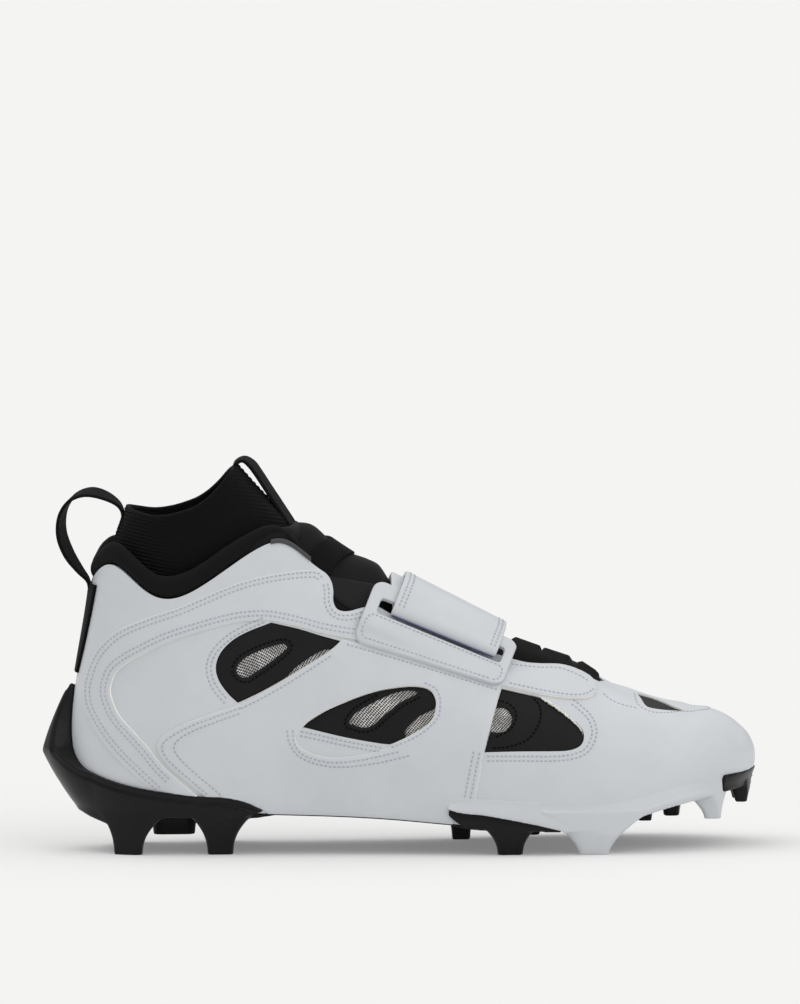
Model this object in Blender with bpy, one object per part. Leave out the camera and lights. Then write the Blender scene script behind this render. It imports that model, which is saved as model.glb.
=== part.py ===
"""Studded field shoe for the right foot: mid-cut, knit cuff, instep strap, moulded studs.

Sizes are in millimetres until the last step. +X points to the toe, +Y to the inner side, +Z up.
"""
import math

import bmesh
import bpy
import numpy as np

for item in list(bpy.data.objects):
    bpy.data.objects.remove(item)

# Sizes of the whole shoe
MM = 0.001
GAP = 0.3
WALL = 2.0
OVERLAY = 0.9
OVERLAY_GAP = 0.5
VENT_DEPTH = 0.7
VENT_THICK = 1.0
PLATE_THICK = 3.2
RAND_THICK = 2.4
INSOLE_THICK = 4.0
CUFF_WALL = 2.0

# The upper, one row for each section round the foot.
# x y z: feather edge. rise flare: how the wall leaves it. top: collar and throat edge.
# reach drop: how the wall arrives there.
SECTION_COLUMNS = ("x", "y", "z", "rise", "flare", "top_x", "top_y", "top_z", "reach", "drop")
SECTIONS = (
    ("back seam", -138.0, 0.0, 20.0, 30.0, 11.0, -132.5, 0.0, 117.0, 3.5, 32.0),
    ("heel quarter, outer", -127.0, -20.0, 20.0, 32.0, 9.0, -124.0, -21.0, 125.0, 3.0, 34.0),
    ("heel side, outer", -110.0, -30.0, 19.5, 30.0, 7.0, -109.0, -30.2, 114.0, 2.0, 30.0),
    ("ankle, outer", -85.0, -33.5, 19.0, 30.0, 6.0, -87.0, -33.2, 115.0, 2.0, 32.0),
    ("quarter, outer", -57.0, -35.5, 18.0, 34.0, 6.0, -56.0, -28.5, 134.0, 4.0, 40.0),
    ("eyestay top, outer", -31.0, -37.5, 17.2, 32.0, 5.5, -37.0, -24.0, 125.5, 10.0, 30.0),
    ("instep, outer", 0.0, -41.5, 15.5, 28.0, 5.0, 0.0, -25.0, 101.0, 13.0, 15.0),
    ("waist front, outer", 30.0, -46.0, 13.0, 27.0, 4.5, 27.0, -21.5, 90.0, 18.0, 9.0),
    ("ball, outer", 58.0, -49.5, 12.4, 27.0, 4.5, 53.0, -17.5, 81.2, 23.0, 6.0),
    ("ball front, outer", 86.0, -49.0, 14.6, 26.0, 4.5, 71.0, -14.5, 78.6, 28.0, 6.0),
    ("toe side, outer", 113.0, -41.5, 22.0, 24.0, 6.0, 82.5, -9.5, 73.4, 31.0, 7.0),
    ("toe corner, outer", 136.0, -25.0, 26.6, 25.0, 9.5, 87.0, -4.5, 71.6, 37.0, 12.5),
    ("toe tip", 149.0, 3.0, 28.4, 23.0, 10.5, 88.5, 0.5, 71.4, 44.0, 13.5),
    ("toe corner, inner", 142.0, 27.0, 27.4, 24.0, 9.5, 87.0, 5.5, 71.4, 36.0, 13.0),
    ("toe side, inner", 121.0, 43.0, 23.8, 23.0, 6.0, 82.5, 10.5, 73.0, 29.0, 8.0),
    ("ball front, inner", 95.0, 48.5, 16.4, 26.0, 4.5, 71.0, 15.0, 78.6, 28.0, 6.0),
    ("ball, inner", 66.0, 47.0, 12.4, 27.0, 4.5, 53.0, 18.0, 81.2, 23.0, 6.0),
    ("waist front, inner", 32.0, 39.5, 13.6, 27.0, 4.5, 27.0, 21.5, 90.0, 16.0, 9.0),
    ("instep, inner", 0.0, 34.5, 17.0, 28.0, 5.0, 0.0, 24.5, 101.0, 11.0, 15.0),
    ("eyestay top, inner", -31.0, 32.5, 19.0, 32.0, 5.5, -37.0, 23.5, 125.5, 9.0, 30.0),
    ("quarter, inner", -57.0, 32.5, 19.5, 34.0, 6.0, -56.0, 28.0, 134.0, 4.0, 40.0),
    ("ankle, inner", -85.0, 32.5, 20.0, 30.0, 6.0, -87.0, 32.7, 115.0, 2.0, 32.0),
    ("heel side, inner", -110.0, 29.5, 20.0, 30.0, 7.0, -109.0, 29.8, 114.0, 2.0, 30.0),
    ("heel quarter, inner", -127.0, 20.0, 20.0, 32.0, 9.0, -124.0, 21.0, 125.0, 3.0, 34.0),
)
ROW = {row[0]: index for index, row in enumerate(SECTIONS)}
TABLE = np.array([row[1:] for row in SECTIONS])


class ClosedSpline:
    """Smooth closed curve through table rows, measured in millimetres along the feather edge."""

    def __init__(self, values):
        edge = values[:, :3]
        self.step = np.linalg.norm(np.roll(edge, -1, axis=0) - edge, axis=1)
        self.knot = np.concatenate(([0.0], np.cumsum(self.step)[:-1]))
        self.length = float(self.step.sum())
        self.values = values
        count = len(values)
        matrix = np.zeros((count, count))
        slope = (np.roll(values, -1, axis=0) - values) / self.step[:, None]
        for i in range(count):
            matrix[i, i - 1] += self.step[i - 1] / 6.0
            matrix[i, i] += (self.step[i - 1] + self.step[i]) / 3.0
            matrix[i, (i + 1) % count] += self.step[i] / 6.0
        self.bend = np.linalg.solve(matrix, slope - np.roll(slope, 1, axis=0))

    def at(self, u):
        u = np.mod(np.asarray(u, dtype=float), self.length)
        i = np.searchsorted(self.knot, u, side="right") - 1
        j = (i + 1) % len(self.knot)
        h = self.step[i][..., None]
        b = (u - self.knot[i])[..., None] / h
        a = 1.0 - b
        curve = (a ** 3 - a) * self.bend[i] + (b ** 3 - b) * self.bend[j]
        return a * self.values[i] + b * self.values[j] + curve * h * h / 6.0


LAST = ClosedSpline(TABLE)
ROUND = LAST.length
U_TIP = LAST.knot[ROW["toe tip"]]


def surface(u, v):
    """Point of the upper's outer face: u round the shoe, v from feather edge 0 to top edge 1."""
    u, v = np.broadcast_arrays(np.asarray(u, dtype=float), np.asarray(v, dtype=float))
    c = LAST.at(u)
    ahead = LAST.at(u + 0.5)[..., :2]
    behind = LAST.at(u - 0.5)[..., :2]
    run = ahead - behind
    run = run / np.linalg.norm(run, axis=-1, keepdims=True)
    out = np.stack([run[..., 1], -run[..., 0], np.zeros(u.shape)], axis=-1)
    foot = c[..., 0:3]
    top = c[..., 5:8]
    lean = foot - top
    lean[..., 2] = 0.0
    far = np.linalg.norm(lean, axis=-1, keepdims=True)
    share = np.clip((far - 6.0) / 20.0, 0.0, 1.0)
    aim = share * lean / np.maximum(far, 1e-6) + (1.0 - share) * out
    aim = aim / np.linalg.norm(aim, axis=-1, keepdims=True)
    up = np.array([0.0, 0.0, 1.0])
    first = foot + out * c[..., 4:5] + up * c[..., 3:4]
    second = top + aim * c[..., 8:9] - up * c[..., 9:10]
    t = v[..., None]
    s = 1.0 - t
    return s ** 3 * foot + 3 * s * s * t * first + 3 * s * t * t * second + t ** 3 * top


def frame_at(u, v):
    """Point, outward normal and upward tangent of the upper's outer face."""
    along = surface(u + 0.4, v) - surface(u - 0.4, v)
    rise = surface(u, np.asarray(v) + 0.004) - surface(u, np.asarray(v) - 0.004)
    normal = np.cross(along, rise)
    normal = normal / np.linalg.norm(normal, axis=-1, keepdims=True)
    rise = rise / np.linalg.norm(rise, axis=-1, keepdims=True)
    return surface(u, v), normal, rise


def skin(u, v, offset):
    point, normal, _ = frame_at(u, v)
    return point + normal * np.asarray(offset)[..., None]


def v_at_height(u, z):
    """The v at which the wall over feather position u reaches height z."""
    low = np.full(np.shape(u), -0.2)
    high = np.full(np.shape(u), 0.98)
    for _ in range(30):
        middle = 0.5 * (low + high)
        under = surface(u, middle)[..., 2] < z
        low = np.where(under, middle, low)
        high = np.where(under, high, middle)
    return 0.5 * (low + high)


def u_at_x(x, inner):
    """Feather position whose edge lies at length x on the outer or the inner side."""
    u = np.linspace(U_TIP, ROUND, 900) if inner else np.linspace(0.0, U_TIP, 900)
    edge_x = LAST.at(u)[:, 0]
    if inner:
        return np.interp(x, edge_x[::-1], u[::-1])
    return np.interp(x, edge_x, u)


# Making objects
def material(name, color, rough):
    made = bpy.data.materials.new(name)
    made.use_nodes = True
    shader = made.node_tree.nodes["Principled BSDF"]
    shader.inputs["Base Color"].default_value = (*color, 1.0)
    shader.inputs["Roughness"].default_value = rough
    return made


WHITE = material("white_synthetic", (0.72, 0.73, 0.75), 0.45)
WHITE_MOULD = material("white_moulding", (0.76, 0.77, 0.79), 0.35)
BLACK_MOULD = material("black_moulding", (0.018, 0.018, 0.02), 0.35)
BLACK_PANEL = material("black_synthetic", (0.02, 0.02, 0.022), 0.5)
BLACK_CLOTH = material("black_textile", (0.012, 0.012, 0.013), 0.85)
BLACK_KNIT = material("black_knit", (0.014, 0.014, 0.015), 0.9)
BLACK_WEB = material("black_webbing", (0.016, 0.016, 0.017), 0.8)
GREY_FOAM = material("grey_foam", (0.12, 0.12, 0.125), 0.9)


def make(name, points, faces, paint):
    mesh = bpy.data.meshes.new(name)
    mesh.from_pydata([tuple(p) for p in np.asarray(points)], [], faces)
    work = bmesh.new()
    work.from_mesh(mesh)
    bmesh.ops.remove_doubles(work, verts=work.verts, dist=0.0001)
    bmesh.ops.recalc_face_normals(work, faces=work.faces)
    work.to_mesh(mesh)
    work.free()
    made = bpy.data.objects.new(name, mesh)
    bpy.context.scene.collection.objects.link(made)
    made.data.materials.append(paint)
    return made


def combine(target, tool, operation):
    """Boolean of two solids, worked out at once; the tool is used up."""
    step = target.modifiers.new("step", "BOOLEAN")
    step.operation = operation
    step.solver = "EXACT"
    step.object = tool
    graph = bpy.context.evaluated_depsgraph_get()
    mesh = bpy.data.meshes.new_from_object(target.evaluated_get(graph))
    target.modifiers.clear()
    target.data = mesh
    bpy.data.objects.remove(tool)
    return target


def shell(name, outer, inner, closed, paint):
    """Solid between two grids of points: outer and inner are (round, up, 3)."""
    n, m = outer.shape[:2]
    points = np.concatenate([outer.reshape(-1, 3), inner.reshape(-1, 3)])
    half = n * m
    faces = []
    last = n if closed else n - 1
    for i in range(last):
        k = (i + 1) % n
        for j in range(m - 1):
            a, b, c, d = i * m + j, k * m + j, k * m + j + 1, i * m + j + 1
            faces.append((a, b, c, d))
            faces.append((half + d, half + c, half + b, half + a))
        low, low2 = i * m, k * m
        high, high2 = i * m + m - 1, k * m + m - 1
        faces.append((low2, low, half + low, half + low2))
        faces.append((high, high2, half + high2, half + high))
    if not closed:
        for j in range(m - 1):
            a, b = j, j + 1
            faces.append((a, b, half + b, half + a))
            a, b = (n - 1) * m + j, (n - 1) * m + j + 1
            faces.append((b, a, half + a, half + b))
    return make(name, points, faces, paint)


def tube(name, rings, closed, paint):
    """Solid swept through equal rings of points, capped unless it closes on itself."""
    rings = np.asarray(rings)
    n, m = rings.shape[:2]
    faces = []
    last = n if closed else n - 1
    for i in range(last):
        k = (i + 1) % n
        for j in range(m):
            l = (j + 1) % m
            faces.append((i * m + j, k * m + j, k * m + l, i * m + l))
    if not closed:
        faces.append(tuple(range(m)))
        faces.append(tuple((n - 1) * m + j for j in range(m)))
    return make(name, rings.reshape(-1, 3), faces, paint)


def prism(name, outline, axis, low, high):
    """Outline in the side view (axis Y: x, z) or the top view (axis Z: x, y), drawn out straight."""
    rings = []
    for depth in (low, high):
        if axis == "Y":
            rings.append([(p[0], depth, p[1]) for p in outline])
        else:
            rings.append([(p[0], p[1], depth) for p in outline])
    return tube(name, rings, False, WHITE)


def outline(points, step=4.0):
    """Closed outline: a third value of 1 marks a corner, the stretches between are smooth curves."""
    points = [p if len(p) == 3 else (*p, 0) for p in points]
    count = len(points)
    made = []
    for i in range(count):
        p1, p2 = points[i], points[(i + 1) % count]
        p0 = p1 if p1[2] else points[i - 1]
        p3 = p2 if p2[2] else points[(i + 2) % count]
        span = math.dist(p1[:2], p2[:2])
        parts = max(1, int(round(span / step)))
        if p1[2] and p2[2]:
            parts = 1
        for k in range(parts):
            t = k / parts
            made.append([0.5 * (2 * p1[n] + (p2[n] - p0[n]) * t
                                + (2 * p0[n] - 5 * p1[n] + 4 * p2[n] - p3[n]) * t * t
                                + (3 * p1[n] - p0[n] - 3 * p2[n] + p3[n]) * t ** 3)
                         for n in (0, 1)])
    return np.array(made)


def inset(shape, distance):
    """The same outline drawn in by a distance."""
    ahead = np.roll(shape, -1, axis=0)
    behind = np.roll(shape, 1, axis=0)
    one = (shape - behind) / np.linalg.norm(shape - behind, axis=1)[:, None]
    two = (ahead - shape) / np.linalg.norm(ahead - shape, axis=1)[:, None]
    area = 0.5 * np.sum(shape[:, 0] * ahead[:, 1] - ahead[:, 0] * shape[:, 1])
    side = 1.0 if area > 0 else -1.0
    normal = np.stack([-(one + two)[:, 1], (one + two)[:, 0]], axis=1) * side
    normal = normal / np.linalg.norm(normal, axis=1)[:, None]
    across = np.stack([-one[:, 1], one[:, 0]], axis=1) * side
    square = np.clip(np.sum(normal * across, axis=1), 0.35, 1.0)
    return shape + normal * (distance / square)[:, None]


# Outlines on the side of the upper (x, z) and on the toe (x, y); 1 marks a corner
WINDOWS = {
    "rear": ((-54.6, 100.6, 1), (-24.8, 92.0, 1), (-69.7, 66.2, 1), (-75.5, 74.2), (-78.6, 82.0),
             (-76.0, 89.6), (-67.0, 96.0)),
    "middle": ((-41.7, 55.6, 1), (-25.8, 64.8), (-8.6, 70.8), (6.0, 73.0), (13.6, 70.6), (15.6, 65.0),
               (11.0, 56.6), (-3.9, 48.2, 1), (-25.8, 51.8)),
    "front": ((43.9, 71.4, 1), (60.6, 67.6), (73.0, 59.2), (79.0, 52.0), (77.0, 46.4), (70.0, 44.6),
              (36.4, 43.8, 1)),
}
TOE_WINDOW = ((102.5, 5.0, 1), (122.0, 13.5, 1), (117.5, 21.0), (106.0, 24.5))
NOTCH = ((-28.8, 130.0, 1), (-28.8, 114.0, 1), (-27.6, 108.4), (-22.5, 105.6), (-15.0, 107.0, 1),
         (-9.0, 107.0, 1), (-9.0, 130.0, 1))
SADDLE = ((-26.4, 89.6, 1), (-69.9, 64.4, 1), (-90.3, 54.6), (-100.6, 47.2), (-96.0, 40.0),
          (-81.6, 27.0, 1), (-65.4, 25.2, 1), (-56.5, 21.6, 1), (-55.5, 6.0, 1), (19.6, 4.0, 1),
          (20.6, 24.6, 1), (32.4, 24.4, 1), (36.1, 43.2, 1), (43.0, 69.0, 1))
SADDLE_HOLE = WINDOWS["middle"]
HEEL_ARC = ((-30.0, 120.0, 1), (-64.5, 116.0), (-94.6, 107.5), (-116.0, 96.5), (-130.3, 83.6),
            (-134.5, 70.0), (-129.5, 57.0), (-117.0, 42.0), (-106.4, 30.6, 1), (-85.4, 27.6, 1),
            (-103.2, 41.0), (-116.1, 55.4), (-121.8, 67.0), (-121.0, 77.0), (-114.0, 85.8),
            (-98.9, 93.4), (-77.4, 100.2), (-55.9, 103.3, 1), (-30.0, 95.5, 1))
EYESTAY = ((45.0, 79.5, 1), (60.0, 79.0, 1), (71.0, 77.5), (80.0, 73.4), (84.0, 69.6), (80.5, 66.6),
           (70.0, 66.8), (62.4, 69.2), (46.5, 73.2, 1))


def side_cut(name, points, inner, step=4.0, draw_in=0.0):
    shape = outline(points, step)
    if draw_in:
        shape = inset(shape, draw_in)
    return prism(name, shape, "Y", 4.0, 80.0) if inner else prism(name, shape, "Y", -80.0, -4.0)


def toe_cut(name, inner, draw_in=0.0):
    shape = outline(TOE_WINDOW, 5.0)
    if draw_in:
        shape = inset(shape, draw_in)
    if not inner:
        shape = shape * np.array([1.0, -1.0])
    return prism(name, shape, "Z", 40.0, 90.0)


# Upper: one hollow shell, open along the top and underneath
ROUND_STEPS = 50
UP_STEPS = 8
round_u = np.linspace(0.0, ROUND, ROUND_STEPS, endpoint=False)
up_v = np.linspace(0.0, 1.0, UP_STEPS)
grid_u, grid_v = np.meshgrid(round_u, up_v, indexing="ij")
upper = shell("upper", skin(grid_u, grid_v, np.zeros(grid_u.shape)),
              skin(grid_u, grid_v, np.full(grid_u.shape, -WALL)), True, WHITE)
for inner in (False, True):
    for name, points in WINDOWS.items():
        combine(upper, side_cut("cut", points, inner, 5.5), "DIFFERENCE")
    combine(upper, side_cut("cut", NOTCH, inner), "DIFFERENCE")
    combine(upper, toe_cut("cut", inner), "DIFFERENCE")


def side_form(name, inner, low, high, x_from, x_to, paint):
    """Part of the upper's own form between two offsets, from which a panel is cut."""
    u_from, u_to = sorted((float(u_at_x(x_from, inner)), float(u_at_x(x_to, inner))))
    near = (round_u > u_from) & (round_u < u_to)
    u, v = grid_u[near], np.clip(grid_v[near], 0.01, 0.985)
    return shell(name, skin(u, v, np.full(u.shape, high)), skin(u, v, np.full(u.shape, low)), False,
                 paint)


SIDES = (("outer", False), ("inner", True))
SPANS = {"rear": (-100.0, -5.0), "middle": (-58.0, 40.0), "front": (12.0, 112.0)}
for side, inner in SIDES:
    for name, points in WINDOWS.items():
        x_from, x_to = SPANS[name]
        form = side_form(f"vent_{name}_{side}", inner, -VENT_DEPTH - VENT_THICK, -VENT_DEPTH,
                         x_from, x_to, BLACK_PANEL)
        combine(form, side_cut("cut", points, inner, 5.5, GAP), "INTERSECT")
    form = side_form(f"vent_toe_{side}", inner, -VENT_DEPTH - VENT_THICK, -VENT_DEPTH, 60.0, 160.0,
                     BLACK_PANEL)
    combine(form, toe_cut("cut", inner, GAP), "INTERSECT")

    saddle = side_form(f"saddle_{side}", inner, OVERLAY_GAP, OVERLAY_GAP + OVERLAY, -114.0, 54.0, WHITE)
    combine(saddle, side_cut("cut", SADDLE, inner, 7.0), "INTERSECT")
    combine(saddle, side_cut("cut", SADDLE_HOLE, inner, 5.5), "DIFFERENCE")
    arc = side_form(f"heel_arc_{side}", inner, OVERLAY_GAP, OVERLAY_GAP + OVERLAY, -160.0, -8.0, WHITE)
    combine(arc, side_cut("cut", HEEL_ARC, inner, 7.0), "INTERSECT")
    stay = side_form(f"eyestay_{side}", inner, OVERLAY_GAP, OVERLAY_GAP + OVERLAY, 20.0, 136.0, WHITE)
    combine(stay, side_cut("cut", EYESTAY, inner), "INTERSECT")


# Sole
def feather(offset, inner):
    """Feather edge drawn out by offset(x): sorted x, y and z along one side."""
    u = np.linspace(U_TIP, ROUND, 400) if inner else np.linspace(0.0, U_TIP, 400)
    edge = LAST.at(u)[:, :3]
    run = LAST.at(u + 0.5)[:, :2] - LAST.at(u - 0.5)[:, :2]
    run = run / np.linalg.norm(run, axis=1)[:, None]
    wide = offset(edge[:, 0])[:, None]
    flat = edge[:, :2] + np.stack([run[:, 1], -run[:, 0]], axis=1) * wide
    order = np.argsort(flat[:, 0])
    rank = np.argsort(edge[:, 0])
    height = np.interp(flat[order, 0], edge[rank, 0], edge[rank, 2])
    return flat[order, 0], flat[order, 1], height


def slab(name, x, one, two, top, bottom, paint):
    """Flat piece between two edges given as (x, y, z), from top to bottom below the feather edge."""
    rings = []
    for value in x:
        y1, z1 = np.interp(value, one[0], one[1]), np.interp(value, one[0], one[2])
        y2, z2 = np.interp(value, two[0], two[1]), np.interp(value, two[0], two[2])
        t, b = top(value), bottom(value)
        rings.append([(value, y1, z1 + t), (value, y2, z2 + t),
                      (value, y2, z2 + b), (value, y1, z1 + b)])
    return tube(name, rings, False, paint)


def even(value):
    return lambda x: np.full(np.shape(x), float(value))


def spaced(start, end, count):
    """Stations closer together toward both ends, where the outline turns."""
    t = 0.5 - 0.5 * np.cos(np.linspace(0.0, math.pi, count))
    return start + (end - start) * t


STUD_COLUMNS = ("x", "y", "tip z", "tip length", "tip width",
                "root x", "root z", "root length", "root width")
BLACK_STUDS = (
    (-117.6, -26.0, 0.0, 11.6, 8.5, -114.6, 17.6, 28.4, 22.0),
    (-117.6, 26.0, 0.0, 11.6, 8.5, -114.6, 17.6, 28.4, 22.0),
    (-77.9, -27.5, 0.0, 10.3, 8.5, -78.6, 17.6, 26.4, 20.0),
    (-77.9, 27.0, 0.0, 10.3, 8.5, -78.6, 17.6, 26.4, 20.0),
    (-98.0, 0.0, 6.3, 18.0, 9.0, -98.0, 17.6, 24.0, 14.0),
    (46.9, -42.5, 0.0, 10.3, 8.0, 47.2, 11.0, 21.0, 17.0),
    (46.9, 36.5, 0.0, 10.3, 8.0, 47.2, 11.0, 21.0, 17.0),
    (26.0, 30.0, 0.0, 8.0, 7.0, 26.0, 12.0, 12.0, 10.0),
    (56.0, 6.0, 4.0, 8.0, 8.0, 56.0, 11.0, 13.0, 12.0),
    (105.5, 8.0, 9.6, 6.0, 10.0, 105.5, 18.0, 10.0, 14.0),
    (117.0, 9.0, 11.6, 7.0, 12.0, 117.0, 21.5, 12.0, 16.0),
    (145.0, -3.0, 18.4, 6.4, 6.0, 144.6, 26.0, 9.6, 9.0),
    (144.4, 14.0, 18.4, 6.4, 6.0, 144.0, 26.0, 9.6, 9.0),
)
WHITE_STUDS = {
    "outer": ((83.4, -44.4, 0.0, 12.0, 8.0, 85.2, 13.0, 29.4, 15.6),
              (133.6, -22.6, 14.6, 6.9, 7.0, 131.4, 23.0, 13.0, 10.0)),
    "inner": ((86.0, 43.4, 0.0, 12.0, 8.0, 87.6, 13.0, 29.4, 15.4),
              (133.6, 29.8, 14.6, 6.9, 7.0, 131.4, 23.0, 13.0, 10.0)),
}
STUD_SIDES = 8
STUD_LEVELS = 3
FLUSH = 0.25


def stud(row, low, high, paint):
    """Stud that flares toward its root and stays flush inside the edges low and high."""
    x, y, tip_z, tip_l, tip_w, root_x, root_z, root_l, root_w = row
    rings = []
    for level in range(STUD_LEVELS):
        t = level / (STUD_LEVELS - 1)
        flare = t ** 2.0
        turn = 2.0 * math.pi * (np.arange(STUD_SIDES) + 0.5) / STUD_SIDES
        c, s = np.cos(turn), np.sin(turn)
        ring_x = x + (root_x - x) * flare + (
            0.5 * (tip_l + (root_l - tip_l) * flare) * np.sign(c) * np.abs(c) ** 0.6)
        ring_y = y + 0.5 * (tip_w + (root_w - tip_w) * flare) * np.sign(s) * np.abs(s) ** 0.6
        ring_y = np.clip(ring_y, np.interp(ring_x, low[0], low[1]) + FLUSH,
                         np.interp(ring_x, high[0], high[1]) - FLUSH)
        ring_z = np.full(STUD_SIDES, tip_z + (root_z - tip_z) * t)
        rings.append(np.stack([ring_x, ring_y, ring_z], axis=1))
    return tube("stud", rings, False, paint)


# Heel cup: height of its rim by distance round the heel from the back seam
CUP_RIM = ((0.0, 73.5), (3.5, 60.0), (7.0, 49.5), (12.0, 42.4), (18.0, 38.2), (26.0, 34.8), (36.0, 31.4),
           (48.0, 28.6), (60.0, 26.6), (80.0, 24.8), (89.0, 23.0), (94.4, 20.2))
# Spur behind the heel: how far it stands out by height
SPUR = ((17.0, -1.3), (21.0, -0.8), (30.5, 3.0), (43.6, 10.2), (73.5, 0.0))
SPUR_HALF_WIDTH = 15.0
RAND_FROM, RAND_TO = 21.5, 138.0
WING_TO = 68.0
# Top line of the rand and the line where it meets the dark plate, by length
RAND_TOP = ((21.5, 23.4), (51.6, 20.9), (94.6, 20.9), (123.0, 26.5), (138.0, 31.6))
RAND_FOOT = ((21.5, 17.9), (68.0, 10.6))
TOE_RIM = 33.6


def line(table, x):
    table = np.array(table)
    return np.interp(x, table[:, 0], table[:, 1])


def core_edge(edge, way, extra):
    """Line between rand and plate underneath, farther in toward the toe."""
    return edge[0], edge[1] + way * (np.interp(edge[0], (108.0, 122.0), (11.0, 17.2)) + extra), edge[2]


TOE_FROM = 140.2
bare = {side: feather(even(0.0), inner) for side, inner in SIDES}
INWARD = {"outer": 1.0, "inner": -1.0}
plate_edge = {}
for side, inner in SIDES:
    plate_edge[side] = feather(
        lambda x: np.interp(x, (-150, -70, -60, 10, 22, 70), (2.4, 2.4, -8.0, -8.0, 2.4, 2.4)), inner)
flush_edge = {side: feather(even(2.4), inner) for side, inner in SIDES}
level = even(-GAP)


def under(x):
    """Underside of the forefoot, thinner between the front studs."""
    return np.interp(x, (92, 104, 124, 136), (-GAP - PLATE_THICK, -2.0, -2.0, -3.0))


def heel_under(x):
    """The plate is thicker under the heel and sweeps up behind it."""
    return np.interp(x, (-140, -134, -127, -114, -100, -64, -54, 8, 20),
                     (-1.3, -3.8, -5.6, -4.2, -3.2, -3.2, -2.1, -2.1, -GAP - PLATE_THICK))


stations = np.concatenate([spaced(-139.6, -60.0, 13), np.linspace(-52.0, WING_TO, 13)])
plate = slab("sole_plate", stations, plate_edge["outer"], plate_edge["inner"], level, heel_under,
             BLACK_MOULD)
core = {side: core_edge(bare[side], INWARD[side], GAP) for side, _ in SIDES}
combine(plate, slab("core", np.linspace(60.0, 142.0, 9), core["outer"], core["inner"], level, under,
                    BLACK_MOULD), "UNION")
broad = {side: feather(even(1.6), inner) for side, inner in SIDES}
toe_x = min(broad["outer"][0].max(), broad["inner"][0].max()) - 0.05
combine(plate, slab("toe", spaced(TOE_FROM, toe_x, 7), broad["outer"], broad["inner"], level, under,
                    BLACK_MOULD), "UNION")


def wall(name, u, z_low, z_high, rows, thick_low, thick_high, paint, extra=None, stand=GAP):
    """Side wall that follows the upper's form a gap outside it, between two heights."""
    v_low = v_at_height(u, z_low)
    v_high = v_at_height(u, z_high)
    f = np.linspace(0.0, 1.0, rows)[None, :]
    v = v_low[:, None] + (v_high - v_low)[:, None] * f
    u = np.broadcast_to(u[:, None], v.shape)
    thick = thick_low + (thick_high - thick_low) * f + np.zeros(v.shape)
    if extra is not None:
        thick = thick + extra(u, surface(u, v)[..., 2])
    return shell(name, skin(u, v, stand + thick), skin(u, v, np.full(v.shape, stand)), False, paint)


def spur(u, z):
    table = np.array(SPUR)
    return np.interp(z, table[:, 0], table[:, 1]) * np.clip(1.0 - np.abs(u) / SPUR_HALF_WIDTH, 0.0, 1.0)


ROOT = 2.0
half = np.array([0.0, 5.0, 10.0, 16.0, 23.0, 32.0, 46.0, 64.0, 80.0, 94.4])
cup_u = np.concatenate([-half[:0:-1], half])
cup_low = np.maximum(LAST.at(cup_u)[:, 2] - ROOT, line(((76.0, 14.0), (94.4, 18.6)), np.abs(cup_u)))
cup_high = line(CUP_RIM, np.abs(cup_u))
combine(plate, wall("cup", cup_u, cup_low, cup_high, 9, 2.1, 1.3, BLACK_MOULD, spur, 0.5), "UNION")
bumper_u = np.linspace(u_at_x(RAND_TO + 0.6, False), u_at_x(RAND_TO + 0.6, True), 9)
bumper_low, bumper_high = LAST.at(bumper_u)[:, 2] - ROOT, np.full(bumper_u.shape, TOE_RIM)
combine(plate, wall("bumper", bumper_u, bumper_low, bumper_high, 3, 1.5, 1.1, BLACK_MOULD), "UNION")

for side, inner in SIDES:
    wing_x = np.linspace(RAND_FROM, 56.0, 6)
    wing_u = u_at_x(wing_x, inner)
    combine(plate, wall("wing", wing_u, LAST.at(wing_u)[:, 2] - ROOT, line(RAND_FOOT, wing_x) - GAP, 3,
                        2.1, 2.1, BLACK_MOULD), "UNION")
for row in BLACK_STUDS:
    combine(plate, stud(row, flush_edge["outer"], flush_edge["inner"], BLACK_MOULD), "UNION")

# Forefoot rands with the pale studs
for side, inner in SIDES:
    rand_x = np.concatenate([np.linspace(RAND_FROM, WING_TO + 0.2, 7),
                             np.linspace(WING_TO + 1.3, RAND_TO, 11)])
    rand_u = u_at_x(rand_x, inner)
    edge_z = LAST.at(rand_u)[:, 2]
    foot = np.maximum(line(RAND_FOOT, rand_x), edge_z + 0.6)
    low = np.where(rand_x < WING_TO + 0.8, foot, edge_z - ROOT)
    rand = wall(f"rand_{side}", rand_u, low, line(RAND_TOP, rand_x), 3, RAND_THICK, 0.9, WHITE_MOULD)
    outside = feather(even(2.6), inner)
    inside = core_edge(bare[side], INWARD[side], 0.0)
    combine(rand, slab("flange", np.linspace(WING_TO + 0.8, RAND_TO, 10), outside, inside, level, under,
                       WHITE_MOULD), "UNION")
    low, high = (inside, outside) if inner else (outside, inside)
    for row in WHITE_STUDS[side]:
        combine(rand, stud(row, low, high, WHITE_MOULD), "UNION")

insole_edge = {side: feather(even(-(WALL + GAP + 0.6)), inner) for side, inner in SIDES}
insole_x = np.concatenate([spaced(-134.4, -80.0, 9), np.linspace(-68.0, 100.0, 11),
                           spaced(108.0, 145.0, 9)])
slab("insole", insole_x, insole_edge["outer"], insole_edge["inner"], even(INSOLE_THICK), even(0.6),
     GREY_FOAM)


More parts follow.
